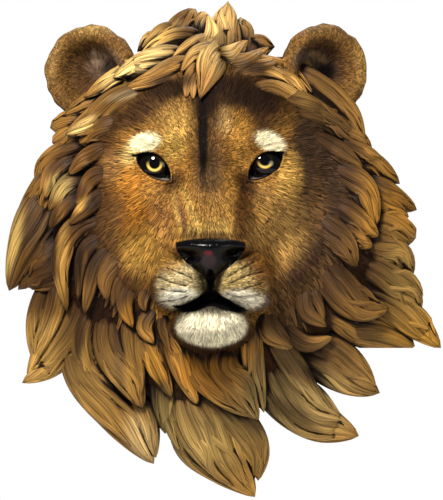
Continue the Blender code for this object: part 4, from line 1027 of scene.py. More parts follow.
Wash = namedtuple("Wash", "across up half_wide half_high turn soft strength red green blue")
FUR_BASE = srgb(54, 37, 22)
FACE_WASHES = (
    # The ground of the face, and the shade at its sides, jaws and throat
    (2, -48, 112, 152, 0, 0.16, 1.0, 170, 122, 58), (-115, -30, 28, 95, 0, 0.5, 0.95, 86, 58, 32),
    (122, -20, 38, 110, 0, 0.35, 0.95, 78, 60, 46), (0, 92, 80, 36, 0, 0.5, 0.8, 84, 58, 34),
    (-84, -140, 36, 28, -35, 0.5, 0.85, 82, 56, 34), (84, -150, 34, 36, 35, 0.5, 0.85, 78, 56, 36),
    (100, -112, 22, 44, 18, 0.5, 0.8, 84, 62, 36), (0, -205, 76, 34, 0, 0.4, 0.95, 64, 43, 24),
    # The forehead and the inner brows
    (44, 44, 44, 34, 0, 0.6, 0.97, 52, 34, 18), (-46, 46, 30, 26, 0, 0.6, 0.7, 124, 94, 54),
    (-28, 18, 18, 24, 0, 0.6, 0.8, 196, 154, 80), (29, 16, 16, 22, 0, 0.6, 0.75, 186, 134, 60),
    (15, 28, 9, 14, 0, 0.6, 0.7, 184, 148, 94), (-36, 3, 12, 12, 0, 0.6, 0.7, 206, 166, 82),
    (-16, 0, 7, 20, 0, 0.6, 0.7, 122, 80, 34), (13, -2, 8, 20, 0, 0.6, 0.7, 112, 76, 36),
    # The root of the bridge, the left cheek and jaw, the right temple and jaw
    (0, -22, 16, 34, 0, 0.6, 0.9, 76, 58, 40), (-76, -54, 22, 34, 0, 0.5, 0.8, 188, 122, 44),
    (-100, -76, 12, 46, 8, 0.6, 0.75, 96, 68, 42), (-89, -62, 9, 20, 0, 0.6, 0.6, 124, 90, 54),
    (-84, -118, 12, 24, -24, 0.6, 0.75, 92, 60, 34), (-75, -90, 14, 14, 0, 0.6, 0.5, 136, 94, 44),
    (-97, -16, 10, 16, 0, 0.6, 0.75, 172, 126, 74), (94, 4, 12, 26, -10, 0.5, 0.75, 66, 50, 38),
    (100, -106, 36, 13, 54, 0.6, 0.8, 68, 50, 38), (-46, -68, 14, 26, 0, 0.6, 0.5, 150, 104, 70),
    # The bridge of the nose and the hollows beside it, painted shade down its right side and a painted
    # shadow over the nose leather
    (0, -68, 25, 22, 0, 0.6, 0.75, 156, 116, 60), (2, -82, 30, 12, 0, 0.6, 0.8, 160, 130, 68),
    (-33, -50, 3, 26, 10, 0.5, 0.7, 218, 178, 96), (-19, -54, 4, 26, 22, 0.5, 0.7, 206, 166, 88),
    (-27, -62, 3, 24, 14, 0.5, 0.75, 112, 78, 58), (33, -52, 3.5, 30, -12, 0.5, 0.65, 74, 46, 22),
    (42, -80, 9, 12, 0, 0.6, 0.6, 88, 60, 30), (2, -86, 34, 4, 0, 0.6, 0.75, 70, 46, 26),
    # Under the eyes, painted shade down the right of the bridge, the right cheek and the left of the muzzle
    (-48, -44, 20, 14, 0, 0.6, 0.7, 170, 124, 64), (50, -46, 18, 14, 0, 0.6, 0.8, 148, 112, 62),
    (37, -62, 9, 32, -6, 0.6, 0.9, 92, 60, 30), (81, -30, 13, 28, -6, 0.35, 0.9, 196, 152, 78),
    (108, -56, 11, 26, 0, 0.6, 0.6, 128, 94, 58), (72, -80, 26, 32, 0, 0.6, 0.8, 184, 144, 82),
    (-66, -100, 18, 24, -20, 0.6, 0.8, 190, 146, 70),
    # The dark edges against the mane, painted shadow under the crest, painted shade in the eyes' inner
    # corners, the stripe up the forehead
    (-105, -168, 44, 32, 0, 0.4, 0.95, 44, 28, 16), (-140, -110, 30, 70, 0, 0.4, 0.9, 48, 31, 16),
    (-40, 61, 32, 11, 12, 0.5, 0.95, 26, 16, 10), (38, 58, 42, 15, -16, 0.5, 0.9, 32, 21, 13),
    (-72, 37, 32, 12, 34, 0.5, 0.9, 62, 43, 28), (-33, -33, 7, 12, -35, 0.6, 0.85, 66, 42, 22),
    (38, -34, 8, 14, 35, 0.6, 0.85, 62, 40, 22), (-3, 34, 15, 40, 0, 0.6, 0.75, 58, 40, 24),
    (-5, 18, 5, 48, 0, 0.35, 0.99, 12, 9, 8), (-2, 56, 15, 24, 0, 0.6, 0.92, 24, 16, 10),
    # The pale brows
    (-77, -4, 11, 9, 50, 0.6, 0.85, 222, 190, 116), (-63, 7.5, 15.5, 9.5, 12, 0.3, 0.97, 252, 243, 196),
    (62.5, 8, 16, 9.5, -24, 0.3, 0.97, 250, 238, 196),
    # The whisker pads, each over a slightly larger, lower ring of painted shadow that shows below and
    # outside it
    (-29, -139, 29, 25, 0, 0.12, 0.8, 84, 56, 28), (33, -139, 31, 27, 0, 0.12, 0.8, 72, 48, 26),
    (-27.5, -134.5, 25, 25, 0, 0.12, 0.95, 206, 186, 138), (-27, -148, 21, 10, 0, 0.4, 0.9, 250, 246, 226),
    (33, -134.5, 27, 27, 0, 0.12, 0.95, 186, 160, 104), (33, -150, 23, 10, 0, 0.4, 0.9, 250, 244, 222),
    (-38, -111, 22, 11, 22, 0.6, 0.85, 160, 120, 60), (46, -110, 20, 12, -26, 0.6, 0.85, 94, 63, 30),
    (54, -124, 8, 16, 0, 0.6, 0.6, 180, 118, 52), (0, -128, 14, 18, 0, 0.5, 0.7, 128, 116, 84),
    # The chin over a ring of painted shade, and the painted shadow of the lips along its top
    (3.5, -180, 42, 24, 0, 0.1, 0.85, 66, 44, 24), (3.5, -176, 36, 21.5, 0, 0.08, 0.98, 238, 230, 198),
    (3, -156, 36, 9, 0, 0.6, 0.9, 60, 54, 46),
)
MANE_BASE = srgb(150, 110, 54)
MANE_WASHES = (
    # The left outer flame and the drops below it
    (-188, -100, 34, 60, 0, 0.6, 0.85, 76, 52, 25), (-196, -95, 7, 40, -14, 0.5, 0.8, 190, 158, 92),
    (-176, -82, 9, 16, -20, 0.5, 0.7, 70, 54, 36), (-163, -205, 40, 40, 0, 0.5, 0.9, 184, 144, 78),
    (-138, -196, 14, 26, -6, 0.5, 0.6, 122, 88, 42), (-162, -150, 30, 16, 0, 0.6, 0.7, 110, 76, 34),
    # The lower left flame, with painted shade in the gaps beside it
    (-108, -250, 40, 60, 0, 0.6, 0.6, 152, 118, 62), (-48, -250, 14, 38, 8, 0.5, 0.95, 48, 40, 24),
    (-66, -292, 13, 26, 20, 0.6, 0.85, 204, 172, 118), (-128, -182, 5, 28, -6, 0.5, 0.9, 52, 38, 22),
    (-52, -212, 12, 18, 0, 0.6, 0.8, 168, 120, 46), (-90, -200, 6, 40, 6, 0.5, 0.8, 96, 72, 44),
    # The lowest flame and the throat
    (20, -330, 60, 50, 0, 0.6, 0.6, 162, 128, 68), (-12, -280, 40, 40, 0, 0.6, 0.6, 184, 156, 94),
    (16, -220, 50, 34, 0, 0.5, 0.95, 172, 116, 42), (48, -232, 9, 28, -12, 0.5, 0.85, 84, 58, 24),
    (40, -334, 14, 14, 0, 0.6, 0.8, 198, 150, 74),
    # The long locks at the lower right, with painted shade along the sides of their folds and in the gaps
    # between them
    (90, -246, 60, 46, 0, 0.6, 0.85, 164, 138, 86), (82, -262, 34, 8, -34, 0.5, 0.85, 80, 62, 34),
    (94, -222, 30, 9, -36, 0.5, 0.8, 88, 64, 34), (96, -196, 26, 12, -30, 0.5, 0.8, 82, 56, 22),
    (128, -206, 26, 16, -34, 0.6, 0.7, 118, 86, 44), (106, -224, 12, 7, -36, 0.5, 0.9, 44, 34, 22),
    (180, -185, 50, 20, 0, 0.6, 0.7, 112, 84, 44), (162, -130, 44, 34, 0, 0.6, 0.8, 82, 58, 30),
    # The right edge
    (212, -178, 34, 30, 0, 0.6, 0.8, 184, 136, 56), (184, -70, 40, 50, 0, 0.6, 0.9, 148, 104, 40),
    (196, -125, 26, 44, 20, 0.6, 0.85, 148, 118, 64),
    # The crest, the forelock and the forehead, with painted shadow under the crest and between its locks,
    # and painted highlights along the top edges of the locks that sweep to the left
    (8, 112, 28, 40, 0, 0.6, 0.85, 228, 188, 118), (46, 106, 28, 16, -34, 0.6, 0.85, 156, 116, 64),
    (50, 82, 20, 7, -10, 0.5, 0.9, 56, 35, 18), (80, 68, 22, 8, -36, 0.5, 0.8, 200, 154, 86),
    (99, 46, 18, 8, -50, 0.5, 0.75, 180, 140, 74), (-4, 64, 16, 22, 0, 0.6, 0.8, 142, 102, 56),
    (-48, 89, 13, 7, 20, 0.5, 0.85, 72, 44, 20), (-24, 126, 18, 16, 0, 0.5, 0.85, 104, 74, 46),
    (-54, 112, 26, 11, 25, 0.5, 0.85, 206, 164, 90), (-60, 80, 50, 24, 0, 0.6, 0.5, 170, 126, 66),
    (-58, 92, 26, 9, 26, 0.5, 0.9, 236, 200, 128), (-88, 76, 22, 8, 28, 0.5, 0.9, 232, 196, 118),
    (-36, 68, 24, 9, 8, 0.5, 0.9, 30, 17, 10),
    # The left side, with painted shade in the gaps between its curls
    (-120, -50, 36, 80, 0, 0.6, 0.8, 92, 60, 30), (-124, -54, 11, 5, 36, 0.5, 0.8, 214, 166, 84),
    (-146, -112, 6, 42, -4, 0.4, 0.9, 180, 136, 70), (-146, -14, 20, 9, 32, 0.5, 0.8, 84, 56, 32),
    (-133, -42, 12, 9, 40, 0.5, 0.8, 62, 40, 22), (-112, -92, 12, 16, 0, 0.5, 0.75, 54, 40, 28),
    (-131, -120, 5, 30, -8, 0.4, 0.9, 26, 18, 13), (-116, -116, 8, 22, -20, 0.5, 0.8, 36, 28, 24),
    (-156, -96, 5, 44, -4, 0.5, 0.85, 42, 26, 13), (-165, -126, 15, 13, 35, 0.5, 0.85, 62, 38, 14),
    (-116, -52, 7, 11, -34, 0.5, 0.85, 30, 18, 12), (-148, -36, 12, 14, -30, 0.5, 0.7, 172, 148, 90),
    # The lit edges of the left sweeps
    (-126, 24, 16, 5, 32, 0.5, 0.8, 226, 190, 120), (-84, 55, 16, 4, 16, 0.5, 0.85, 224, 196, 142),
    (-76, 84, 20, 6, 30, 0.5, 0.8, 228, 194, 124),
    # The shade beside the cheeks and jaws
    (-100, -150, 30, 26, 0, 0.6, 0.6, 92, 64, 38), (120, -40, 32, 100, 0, 0.5, 0.85, 74, 54, 36),
    (82, -150, 40, 36, 35, 0.5, 0.8, 80, 58, 38), (-70, -150, 30, 26, -35, 0.5, 0.7, 90, 62, 36),
    (-79, -164, 8, 18, -10, 0.5, 0.85, 168, 116, 44), (-43, -182, 9, 22, 0, 0.6, 0.8, 74, 50, 25),
)
EAR_BASE = srgb(112, 82, 44)
EAR_WASHES = (
    # The left ear: its rim, its cup, the dark hollow and a lit tuft
    (-119, 122, 38, 6, 0, 0.6, 0.8, 154, 124, 72), (-154, 96, 6, 34, -10, 0.6, 0.7, 146, 114, 68),
    (-113, 78, 27, 28, 0, 0.3, 0.85, 84, 60, 38), (-104, 84, 16, 15, -30, 0.5, 0.85, 134, 110, 92),
    (-97, 82, 9, 10, 0, 0.5, 0.9, 46, 38, 34), (-113, 92, 3, 9, 12, 0.6, 0.8, 176, 152, 124),
    # The right ear: the same
    (118, 122, 40, 6, 0, 0.6, 0.8, 112, 86, 50), (156, 92, 7, 40, 6, 0.6, 0.8, 158, 124, 66),
    (112, 82, 24, 26, 0, 0.35, 0.95, 66, 47, 36), (104, 88, 17, 11, -14, 0.5, 0.85, 88, 76, 68),
    (118, 78, 9, 11, -14, 0.5, 0.98, 9, 6, 6), (110, 93, 10, 4, -24, 0.5, 0.8, 134, 108, 74),
    (101, 84, 4, 6, 0, 0.5, 0.8, 142, 108, 58),
)


def brush(base, washes, across, up):
    """Lays washes of colour over a base, in order."""
    colour = np.tile(base, (len(across), 1))
    for w in (Wash(*row) for row in washes):
        du, dv = across - w.across, up - w.up
        c, s = math.cos(math.radians(w.turn)), math.sin(math.radians(w.turn))
        reach = np.hypot((du * c + dv * s) / w.half_wide, (dv * c - du * s) / w.half_high)
        cover = (w.strength * (1 - ease(reach, 1 - w.soft, 1 + w.soft)))[:, None]
        colour = colour * (1 - cover) + srgb(w.red, w.green, w.blue) * cover
    return colour


across, up, out = grid_places(fused)
finish = np.full(len(fused.vertices), EYE)
for polygon in fused.polygons:
    for index in polygon.vertices:
        finish[index] = min(finish[index], polygon.material_index)
washed = np.where((finish == MANE)[:, None], brush(MANE_BASE, MANE_WASHES, across, up),
                  brush(FUR_BASE, FACE_WASHES, across, up))
washed = np.where((finish == EAR)[:, None], brush(EAR_BASE, EAR_WASHES, across, up), washed)
# The fourth number is how dark the roots of the hair are kept: less so under the chin and on the crest.
LIGHT_ROOTS = (Swell(8, -222, 55, 30, 0.8), Swell(-60, 88, 50, 26, 0.56))
dark_roots = 1 - np.max([swell_out(area, across, up) for area in LIGHT_ROOTS], axis=0)
layer = fused.attributes.new("wash", "FLOAT_COLOR", "POINT")
layer.data.foreach_set("color", np.column_stack([washed, dark_roots]).ravel().astype(np.float32))
store(fused, "shelter", shelter(fused))

# The lid liner, the nose leather, the mouth and the whisker rows are painted with a fine brush. Each
# point keeps its distance from them, so their edges stay crisp at any size.
LID_TAILS = (((-66, -6), (-75, -5.5)), ((68, -3), (75, -2.5)))
# A painted highlight runs along the wet rim inside each lower lid, thinner on the right eye.
LID_RIM_HIGHLIGHT_IN = 0.8                # the wet rim runs this far inside the lower lid
RIGHT_RIM_THINNER = 0.5
WIDE_GAP = 9.0                  # stands for far away
NOSE_PAINT_BOW = 4
NOSE_MIDDLE, NOSE_MIDDLE_RADIUS = (1, -111), 9
NOSE_BLUSH, NOSE_BLUSH_HALF_WIDE, NOSE_BLUSH_HALF_HIGH = (0, -103), 6, 3
MOUTH_GAPE, GAPE_HALF_WIDE = 9.0, 34
LIP_THINNING, LIP_END_FALL = 0.05, 0.6
GROOVE_LINE = 1.5               # half-width of the line in the lip's groove
GROOVE_LINE_ABOVE, GROOVE_LINE_BELOW = 4.5, 4    # how much wider it gets towards its ends
GROOVE_END_FALL = 4
GROOVE_LINE_THINNER = 3.4       # as its ramp is the mouth's, the line is drawn in by this

lids = [past_lid(across, up, eye) for eye in EYES]
tails = [line_distance(across, up, *stroke) for stroke in LID_TAILS]
store(fused, "lid_gap", np.min(lids + tails, axis=0))
# Each point's distance from the painted highlight on the wet rim of a lower lid.
wet = [np.where(slit_place(across, up, eye)[1] < 0, np.abs(past + LID_RIM_HIGHLIGHT_IN), WIDE_GAP)
       for eye, past in zip(EYES, lids)]
store(fused, "lid_rim_highlight", np.minimum(wet[0], wet[1] + RIGHT_RIM_THINNER))
away = np.abs(across - FACE_AXIS)
nose_top = NOSE_TOP - NOSE_PAINT_BOW * (away / NOSE_HALF_WIDE) ** 2
nose_gap = np.maximum(away - nose_half_wide(up)[0], np.maximum(up - nose_top, NOSE_FOOT - 1 - up))
store(fused, "nose_gap", nose_gap)
from_middle = np.hypot(across - NOSE_MIDDLE[0], up - NOSE_MIDDLE[1]) / NOSE_MIDDLE_RADIUS
store(fused, "nose_middle", from_middle)
from_blush = np.hypot((across - NOSE_BLUSH[0]) / NOSE_BLUSH_HALF_WIDE,
                      (up - NOSE_BLUSH[1]) / NOSE_BLUSH_HALF_HIGH)
store(fused, "nose_blush", from_blush)
below_lip = glide(across, MOUTH_ACROSS, MOUTH_UP) - up
gape = MOUTH_GAPE * np.clip(1 - (away / GAPE_HALF_WIDE) ** 2, 0, 1)
lips = np.maximum(below_lip - gape, -below_lip) + LIP_THINNING * away
lips = lips + LIP_END_FALL * np.maximum(away - GAPE_HALF_WIDE, 0)
widen_above = GROOVE_LINE_ABOVE * ease(up, GROOVE_FOOT + 8, NOSE_FOOT)
widen_below = GROOVE_LINE_BELOW * (1 - ease(up, GROOVE_FOOT - 2, GROOVE_FOOT + 6))
past_ends = np.maximum(up - NOSE_FOOT - 4, 0) + np.maximum(GROOVE_FOOT - up, 0)
groove_line = away - (GROOVE_LINE + widen_above + widen_below) + GROOVE_END_FALL * past_ends
store(fused, "mouth_gap", np.minimum(lips, groove_line + GROOVE_LINE_THINNER))
store(fused, "whisker_gap", whisker_distance(across, up))


# The brushed hair, used by every furry finish: strokes along the flow, each with its own tone, and a
# groove between strokes.
class Mixing:
    """A node tree with short ways to add to it. A value may be a number or another node's socket."""

    def __init__(self, tree):
        self.tree = tree

    def fill(self, socket, value):
        if isinstance(value, bpy.types.NodeSocket):
            self.tree.links.new(value, socket)
        else:
            socket.default_value = (*value, 1.0) if socket.type == "RGBA" else value

    def node(self, kind, inputs=(), **settings):
        """Adds a node, sets its properties and fills its inputs."""
        made = self.tree.nodes.new("ShaderNode" + kind)
        for key, value in settings.items():
            setattr(made, key, value)
        for key, value in dict(inputs).items():
            self.fill(made.inputs[key], value)
        return made

    def math(self, operation, *values):
        return self.node("Math", enumerate(values), operation=operation).outputs[0]

    def times(self, a, b):
        return self.math("MULTIPLY", a, b)

    def ramp(self, value, low, high, to_low=0.0, to_high=1.0):
        """A smooth step from to_low, where the value is low, up or down to to_high, where it is high."""
        ends = {"Value": value, "From Min": low, "From Max": high, "To Min": to_low, "To Max": to_high}
        return self.node("MapRange", ends, interpolation_type="SMOOTHSTEP").outputs["Result"]

    def mix(self, share, under, over):
        return self.node("Mix", {0: share, 6: under, 7: over}, data_type="RGBA").outputs[2]

    def pair(self, x, y):
        return self.node("CombineXYZ", {"X": x, "Y": y}).outputs[0]

    def parts(self, vector):
        return self.node("SeparateXYZ", {0: vector}).outputs


SWAY_BREADTHS = 5.0                     # breadth of a sway, in strokes
FINE_ACROSS, FINE_ALONG = 2.6, 0.7      # fine hairs in a stroke's breadth and in its length
GROOVE_SHARE = 0.32                     # how far a groove reaches into its stroke
FINE_HEIGHT, STROKE_HEIGHT = 0.9, 0.4
FINE_TONE, STROKE_TONE = 0.5, 0.5

hair_group = bpy.data.node_groups.new("brushed_hair", "ShaderNodeTree")
for in_out, kind, labels in (("INPUT", "NodeSocketVector", ("Map",)),
                             ("INPUT", "NodeSocketFloat", ("Breadth", "Length", "Sway")),
                             ("OUTPUT", "NodeSocketFloat", ("Height", "Tone"))):
    for label in labels:
        hair_group.interface.new_socket(label, in_out=in_out, socket_type=kind)
given = hair_group.nodes.new("NodeGroupInput").outputs
result = hair_group.nodes.new("NodeGroupOutput").inputs
strokes = Mixing(hair_group)
on_map = strokes.parts(given["Map"])
run = strokes.math("DIVIDE", on_map["Y"], given["Length"])
sway_round = strokes.math("DIVIDE", on_map["X"], strokes.times(given["Breadth"], SWAY_BREADTHS))
sway = strokes.node("TexNoise", {"Vector": strokes.pair(sway_round, run), "Scale": 1.0,
                                 "Detail": 1.0}).outputs[0]
bend = strokes.math("DIVIDE", on_map["X"], given["Breadth"])
on_stroke = strokes.pair(strokes.math("MULTIPLY_ADD", sway, given["Sway"], bend),
                         strokes.math("ADD", sway, run))
edge = strokes.node("TexVoronoi", {"Vector": on_stroke, "Scale": 1.0}, voronoi_dimensions="2D",
                    feature="DISTANCE_TO_EDGE").outputs["Distance"]
cell = strokes.node("TexVoronoi", {"Vector": on_stroke, "Scale": 1.0},
                    voronoi_dimensions="2D").outputs["Color"]
cell_tone = strokes.node("SeparateColor", {0: cell}).outputs[0]
apart = strokes.parts(on_stroke)
fine_place = strokes.pair(strokes.times(apart["X"], FINE_ACROSS), strokes.times(apart["Y"], FINE_ALONG))
fine = strokes.node("TexNoise", {"Vector": fine_place, "Scale": 1.0, "Detail": 2.0},
                    noise_dimensions="2D").outputs[0]
stroke_height = strokes.times(strokes.ramp(edge, 0.0, GROOVE_SHARE), STROKE_HEIGHT)
strokes.fill(result["Height"], strokes.math("MULTIPLY_ADD", fine, FINE_HEIGHT, stroke_height))
stroke_tone = strokes.times(cell_tone, STROKE_TONE)
strokes.fill(result["Tone"], strokes.math("MULTIPLY_ADD", fine, FINE_TONE, stroke_tone))

STROKE_DEPTH = 0.0008


class Finish(Mixing):
    """A painted material: its Principled shader's inputs, and the colour as far as it has been laid."""

    def __init__(self, name, roughness, gloss=0.12, coat=0.0, coat_roughness=0.15):
        self.material = bpy.data.materials.new(name)
        self.material.use_nodes = True
        super().__init__(self.material.node_tree)
        self.shader = self.tree.nodes["Principled BSDF"].inputs
        self.shader["Roughness"].default_value = roughness
        self.shader["Specular IOR Level"].default_value = gloss
        self.shader["Coat Weight"].default_value = coat
        self.shader["Coat Roughness"].default_value = coat_roughness

    def attribute(self, name):
        return self.node("Attribute", attribute_name=name, attribute_type="GEOMETRY").outputs

    def kept(self, name, *ends):
        """A number kept for each point of the mesh, taken through a ramp."""
        return self.ramp(self.attribute(name)["Fac"], *ends)

    def where(self):
        return self.node("TexCoord").outputs["Object"]

    def brushed(self, breadth, length, sway):
        """The height and the tone of brushed hair, laid along the hair map."""
        made = self.tree.nodes.new("ShaderNodeGroup")
        made.node_tree = hair_group
        self.fill(made.inputs["Map"], self.node("UVMap", uv_map="hair").outputs[0])
        self.fill(made.inputs["Breadth"], breadth)
        self.fill(made.inputs["Length"], length)
        self.fill(made.inputs["Sway"], sway)
        return made.outputs["Height"], made.outputs["Tone"]

    def washed(self, light):
        """Starts the colour with the washes, each point made lighter or darker, and returns them."""
        wash = self.attribute("wash")
        self.colour = self.node("VectorMath", {0: wash["Color"], 1: light}, operation="MULTIPLY").outputs[0]
        return wash

    def over(self, share, paint):
        """Lays a paint over the colour."""
        self.colour = self.mix(share, self.colour, paint)

    def close(self, height=None):
        """Gives the shader the colour and, if there is one, the relief of the strokes."""
        self.fill(self.shader["Base Color"], self.colour)
        if height is not None:
            bump = self.node("Bump", {"Height": height, "Distance": STROKE_DEPTH, "Strength": 1.0})
            self.fill(self.shader["Normal"], bump.outputs[0])


# A row of four numbers after a name is a ramp: where it starts and ends, and its share at each end.
# The dark brown of the painted shade in the grooves and in the deep places.
PAINTED_SHADE_BROWN = srgb(26, 15, 8)
INK = srgb(16, 14, 16)

# The face: short strokes of fur over the washes, painted shade in the grooves and deep places, a painted
# highlight on the wet rims of the lower lids, and the black work on top.
LID_RIM_HIGHLIGHT = srgb(128, 116, 108)
NOSE_BLACK = srgb(9, 9, 14)
NOSE_GREY = srgb(52, 40, 43)
NOSE_RED = srgb(94, 32, 38)
NOSTRIL_SHADE_BLACK = srgb(0, 0, 0)
BLACK_WORK_ROUGHNESS, BLACK_WORK_COAT = 0.24, 0.15
BLACK_WORK_STROKES = 0.08
LEATHER_GRAIN_SCALE, LEATHER_GRAIN_HEIGHT = 260.0, 1.2
FUR_ROUGHNESS = 0.6

face = Finish("painted_face", FUR_ROUGHNESS)
height, tone = face.brushed(1.5, 5.0, 1.8)
wash = face.washed(face.ramp(tone, 0.2, 0.8, 0.6, 1.45))
pale = face.node("SeparateColor", {0: wash["Color"]}).outputs["Blue"]
# Painted shade in the grooves between the strokes, less of it on the pale fur.
grooves = face.times(face.ramp(height, 0.28, 0.78, 0.92, 0.0), face.ramp(pale, 0.2, 0.5, 1.0, 0.25))
face.over(grooves, PAINTED_SHADE_BROWN)
# Painted shade in the deep places.
deep = face.kept("shelter", 0.28, 0.7, 0.0, 0.9)
face.over(deep, PAINTED_SHADE_BROWN)
whiskers = face.kept("whisker_gap", 0.5, 1.5, 0.9, 0.0)
face.over(face.times(whiskers, face.ramp(tone, 0.3, 0.6, 1.0, 0.7)), INK)
face.over(face.kept("mouth_gap", 2.6, 4.2, 1.0, 0.0), INK)
liner = face.kept("lid_gap", 0.9, 2.1, 1.0, 0.0)
face.over(liner, INK)
leather = face.kept("nose_gap", -0.8, 0.8, 1.0, 0.0)
# The painted highlight along the wet rim inside each lower lid.
face.over(face.kept("lid_rim_highlight", 0.7, 1.8, 0.75, 0.0), LID_RIM_HIGHLIGHT)
skin = face.mix(face.kept("nose_middle", 0.5, 1.1, 0.8, 0.0), NOSE_BLACK, NOSE_GREY)
skin = face.mix(face.kept("nose_blush", 0.3, 1.1, 0.8, 0.0), skin, NOSE_RED)
# The nostrils and the other deep places of the leather go black, as painted shade.
face.over(leather, face.mix(deep, skin, NOSTRIL_SHADE_BLACK))
black_work = face.math("MAXIMUM", leather, liner)
face.fill(face.shader["Roughness"], face.ramp(black_work, 0.0, 1.0, FUR_ROUGHNESS, BLACK_WORK_ROUGHNESS))
face.fill(face.shader["Coat Weight"], face.times(black_work, BLACK_WORK_COAT))
grain = face.node("TexNoise", {"Vector": face.where(), "Scale": LEATHER_GRAIN_SCALE,
                               "Detail": 2.0}).outputs[0]
fur_height = face.times(height, face.ramp(black_work, 0.0, 1.0, 1.0, BLACK_WORK_STROKES))
skin_height = face.times(grain, face.times(leather, LEATHER_GRAIN_HEIGHT))
face.close(face.math("ADD", fur_height, skin_height))

# The mane: long combed hair, each strand with its own tone and painted shade in the groove beside it,
# darker at the roots and lighter towards the tips as a painted highlight.
ROOT_BROWN = srgb(58, 38, 21)

mane = Finish("painted_mane", 0.5, 0.2)
height, tone = mane.brushed(1.8, 46.0, 3.0)
strand = mane.parts(mane.node("UVMap", uv_map="strand").outputs[0])
strand_tone = mane.node("TexWhiteNoise", {"W": mane.math("FLOOR", strand["X"])},
                        noise_dimensions="1D").outputs["Value"]
light = mane.times(mane.ramp(tone, 0.2, 0.8, 0.75, 1.25), mane.ramp(strand_tone, 0.0, 1.0, 0.8, 1.2))
# Lighter towards the tips, as a painted highlight.
wash = mane.washed(mane.times(light, mane.ramp(strand["Y"], 0.3, 1.0, 0.85, 1.3)))
mane.over(mane.times(mane.ramp(strand["Y"], 0.05, 0.6, 0.85, 0.0), wash["Alpha"]), ROOT_BROWN)
# Painted shade in the groove beside each strand, between the strokes and in the deep places.
crest = mane.math("ABSOLUTE", mane.math("SINE", mane.times(strand["X"], math.pi)))
mane.over(mane.ramp(crest, 0.0, 0.4, 0.55, 0.0), PAINTED_SHADE_BROWN)
mane.over(mane.ramp(height, 0.2, 0.7, 0.6, 0.0), PAINTED_SHADE_BROWN)
mane.over(mane.kept("shelter", 0.16, 0.46, 0.0, 0.98), PAINTED_SHADE_BROWN)
mane.close(height)

# The ears: short strokes across the rim, and dark hair in the cup, with painted shade between the strokes
# and in the deep places.
ears = Finish("painted_ear", FUR_ROUGHNESS)
height, tone = ears.brushed(1.6, 6.0, 1.0)
ears.washed(ears.ramp(tone, 0.2, 0.8, 0.6, 1.6))
# Painted shade between the strokes and in the deep places.
ears.over(ears.ramp(height, 0.2, 0.7, 0.75, 0.0), PAINTED_SHADE_BROWN)
ears.over(ears.kept("shelter", 0.4, 0.9, 0.0, 0.6), PAINTED_SHADE_BROWN)
ears.close(height)

# The eyes: a painted amber iris round a black pupil, on black, under a clear gloss varnish. The
# upper part is painted dark, as if it lay in the lid's shade.
IRIS_RADIUS = 8.4
PUPIL_RADIUS = 5.2
IRISES = ((-53.5, -13.5), (57.0, -10.4))
LID_SHADE_FOOT, LID_SHADE_TOP = -22, -13
AMBER, SHADED_AMBER = srgb(226, 200, 104), srgb(28, 22, 14)
IRIS_EDGE, SHADED_EDGE = srgb(112, 82, 30), srgb(14, 11, 8)
PUPIL_BLACK = srgb(5, 5, 12)
EYE_BLACK = srgb(10, 9, 10)

eyes = Finish("varnished_eye", 0.3, 0.0, 0.6, 0.03)
spot = eyes.parts(eyes.where())
gaps = []
for iris in IRISES:
    x, _, z = place(*iris, EYE_BALL_OUT)
    aside = eyes.pair(eyes.math("SUBTRACT", spot["X"], x), eyes.math("SUBTRACT", spot["Z"], z))
    gaps.append(eyes.node("VectorMath", {0: aside}, operation="LENGTH").outputs["Value"])
ring = eyes.math("DIVIDE", eyes.math("MINIMUM", *gaps), UNIT)
shaded = eyes.ramp(spot["Z"], LID_SHADE_FOOT * UNIT, LID_SHADE_TOP * UNIT)
eyes.colour = PUPIL_BLACK
eyes.over(eyes.ramp(ring, PUPIL_RADIUS - 0.5, PUPIL_RADIUS + 0.7), eyes.mix(shaded, AMBER, SHADED_AMBER))
eyes.over(eyes.ramp(ring, IRIS_RADIUS - 1.3, IRIS_RADIUS - 0.3), eyes.mix(shaded, IRIS_EDGE, SHADED_EDGE))
eyes.over(eyes.ramp(ring, IRIS_RADIUS - 0.6, IRIS_RADIUS + 0.4), EYE_BLACK)
eyes.close()

CRISP_EDGE = math.radians(60)    # edges sharper than this keep a crisp shade
for slot, paint in ((FUR, face), (MANE, mane), (EAR, ears), (EYE, eyes)):
    fused.materials[slot] = paint.material
fused.set_sharp_from_angle(angle=CRISP_EDGE)
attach(casting, "root")
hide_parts("lion_head")

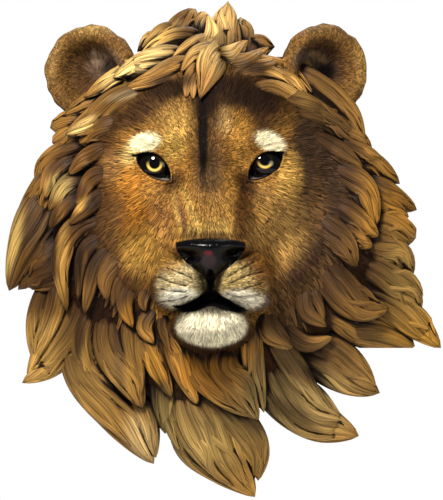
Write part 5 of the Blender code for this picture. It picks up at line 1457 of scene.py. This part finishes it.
# The studio: a pale round floor below the head, a soft key light from the upper left, a fill and a
# rim light, and the camera straight in front at the distance that the grid was laid out from.
FLOOR_UP = -0.36
FLOOR_PALE = (0.6, 0.6, 0.59)
LAMP_COLOUR = (1.0, 0.94, 0.85)
LAMPS = (("key_light", (-0.6, -1.6, 1.25), 0.5, 76), ("fill_light", (1.4, -1.4, 0.1), 1.0, 9),
         ("rim_light", (0.3, 0.9, 1.3), 0.8, 14))    # name, place, size in metres, power in watts
SKY_STRENGTH, SKY_SEEN_STRENGTH = 0.2, 1.0
PICTURE_HEIGHT_UNITS = 500.0

floor_mesh = bmesh.new()
bmesh.ops.create_circle(floor_mesh, cap_ends=True, segments=96, radius=1.0)
for v in floor_mesh.verts:
    v.co.z = FLOOR_UP
floor_data = bpy.data.meshes.new("floor")
floor_mesh.to_mesh(floor_data)
floor_mesh.free()
floor = bpy.data.objects.new("floor", floor_data)
bpy.context.scene.collection.objects.link(floor)
floor_paint = Finish("pale_floor", 0.8)
floor_paint.colour = FLOOR_PALE
floor_paint.close()
floor_data.materials.append(floor_paint.material)

middle = Vector(place(*VIEW_CENTRE, 90))
for name, position, size, power in LAMPS:
    lamp = bpy.data.lights.new(name, "AREA")
    lamp.shape = "DISK"
    lamp.size = size
    lamp.energy = power
    lamp.color = LAMP_COLOUR
    obj = bpy.data.objects.new(name, lamp)
    obj.location = position
    obj.rotation_euler = (middle - Vector(position)).to_track_quat("-Z", "Y").to_euler()
    bpy.context.scene.collection.objects.link(obj)

world = bpy.data.worlds.new("studio")
world.use_nodes = True
sky = Mixing(world.node_tree)
background = world.node_tree.nodes["Background"].inputs
sky.fill(background["Color"], (1.0, 1.0, 1.0))
seen = sky.node("LightPath").outputs["Is Camera Ray"]
sky.fill(background["Strength"], sky.ramp(seen, 0.0, 1.0, SKY_STRENGTH, SKY_SEEN_STRENGTH))
bpy.context.scene.view_settings.view_transform = "Standard"
bpy.context.scene.world = world

lens = bpy.data.cameras.new("camera")
lens.sensor_fit = "VERTICAL"
lens.angle = 2 * math.atan(PICTURE_HEIGHT_UNITS * UNIT / 2 / VIEW_DISTANCE)
camera = bpy.data.objects.new("camera", lens)
camera.location = (VIEW_CENTRE[0] * UNIT, -VIEW_DISTANCE, VIEW_CENTRE[1] * UNIT)
camera.rotation_euler = (math.pi / 2, 0, 0)
bpy.context.scene.collection.objects.link(camera)
bpy.context.scene.camera = camera
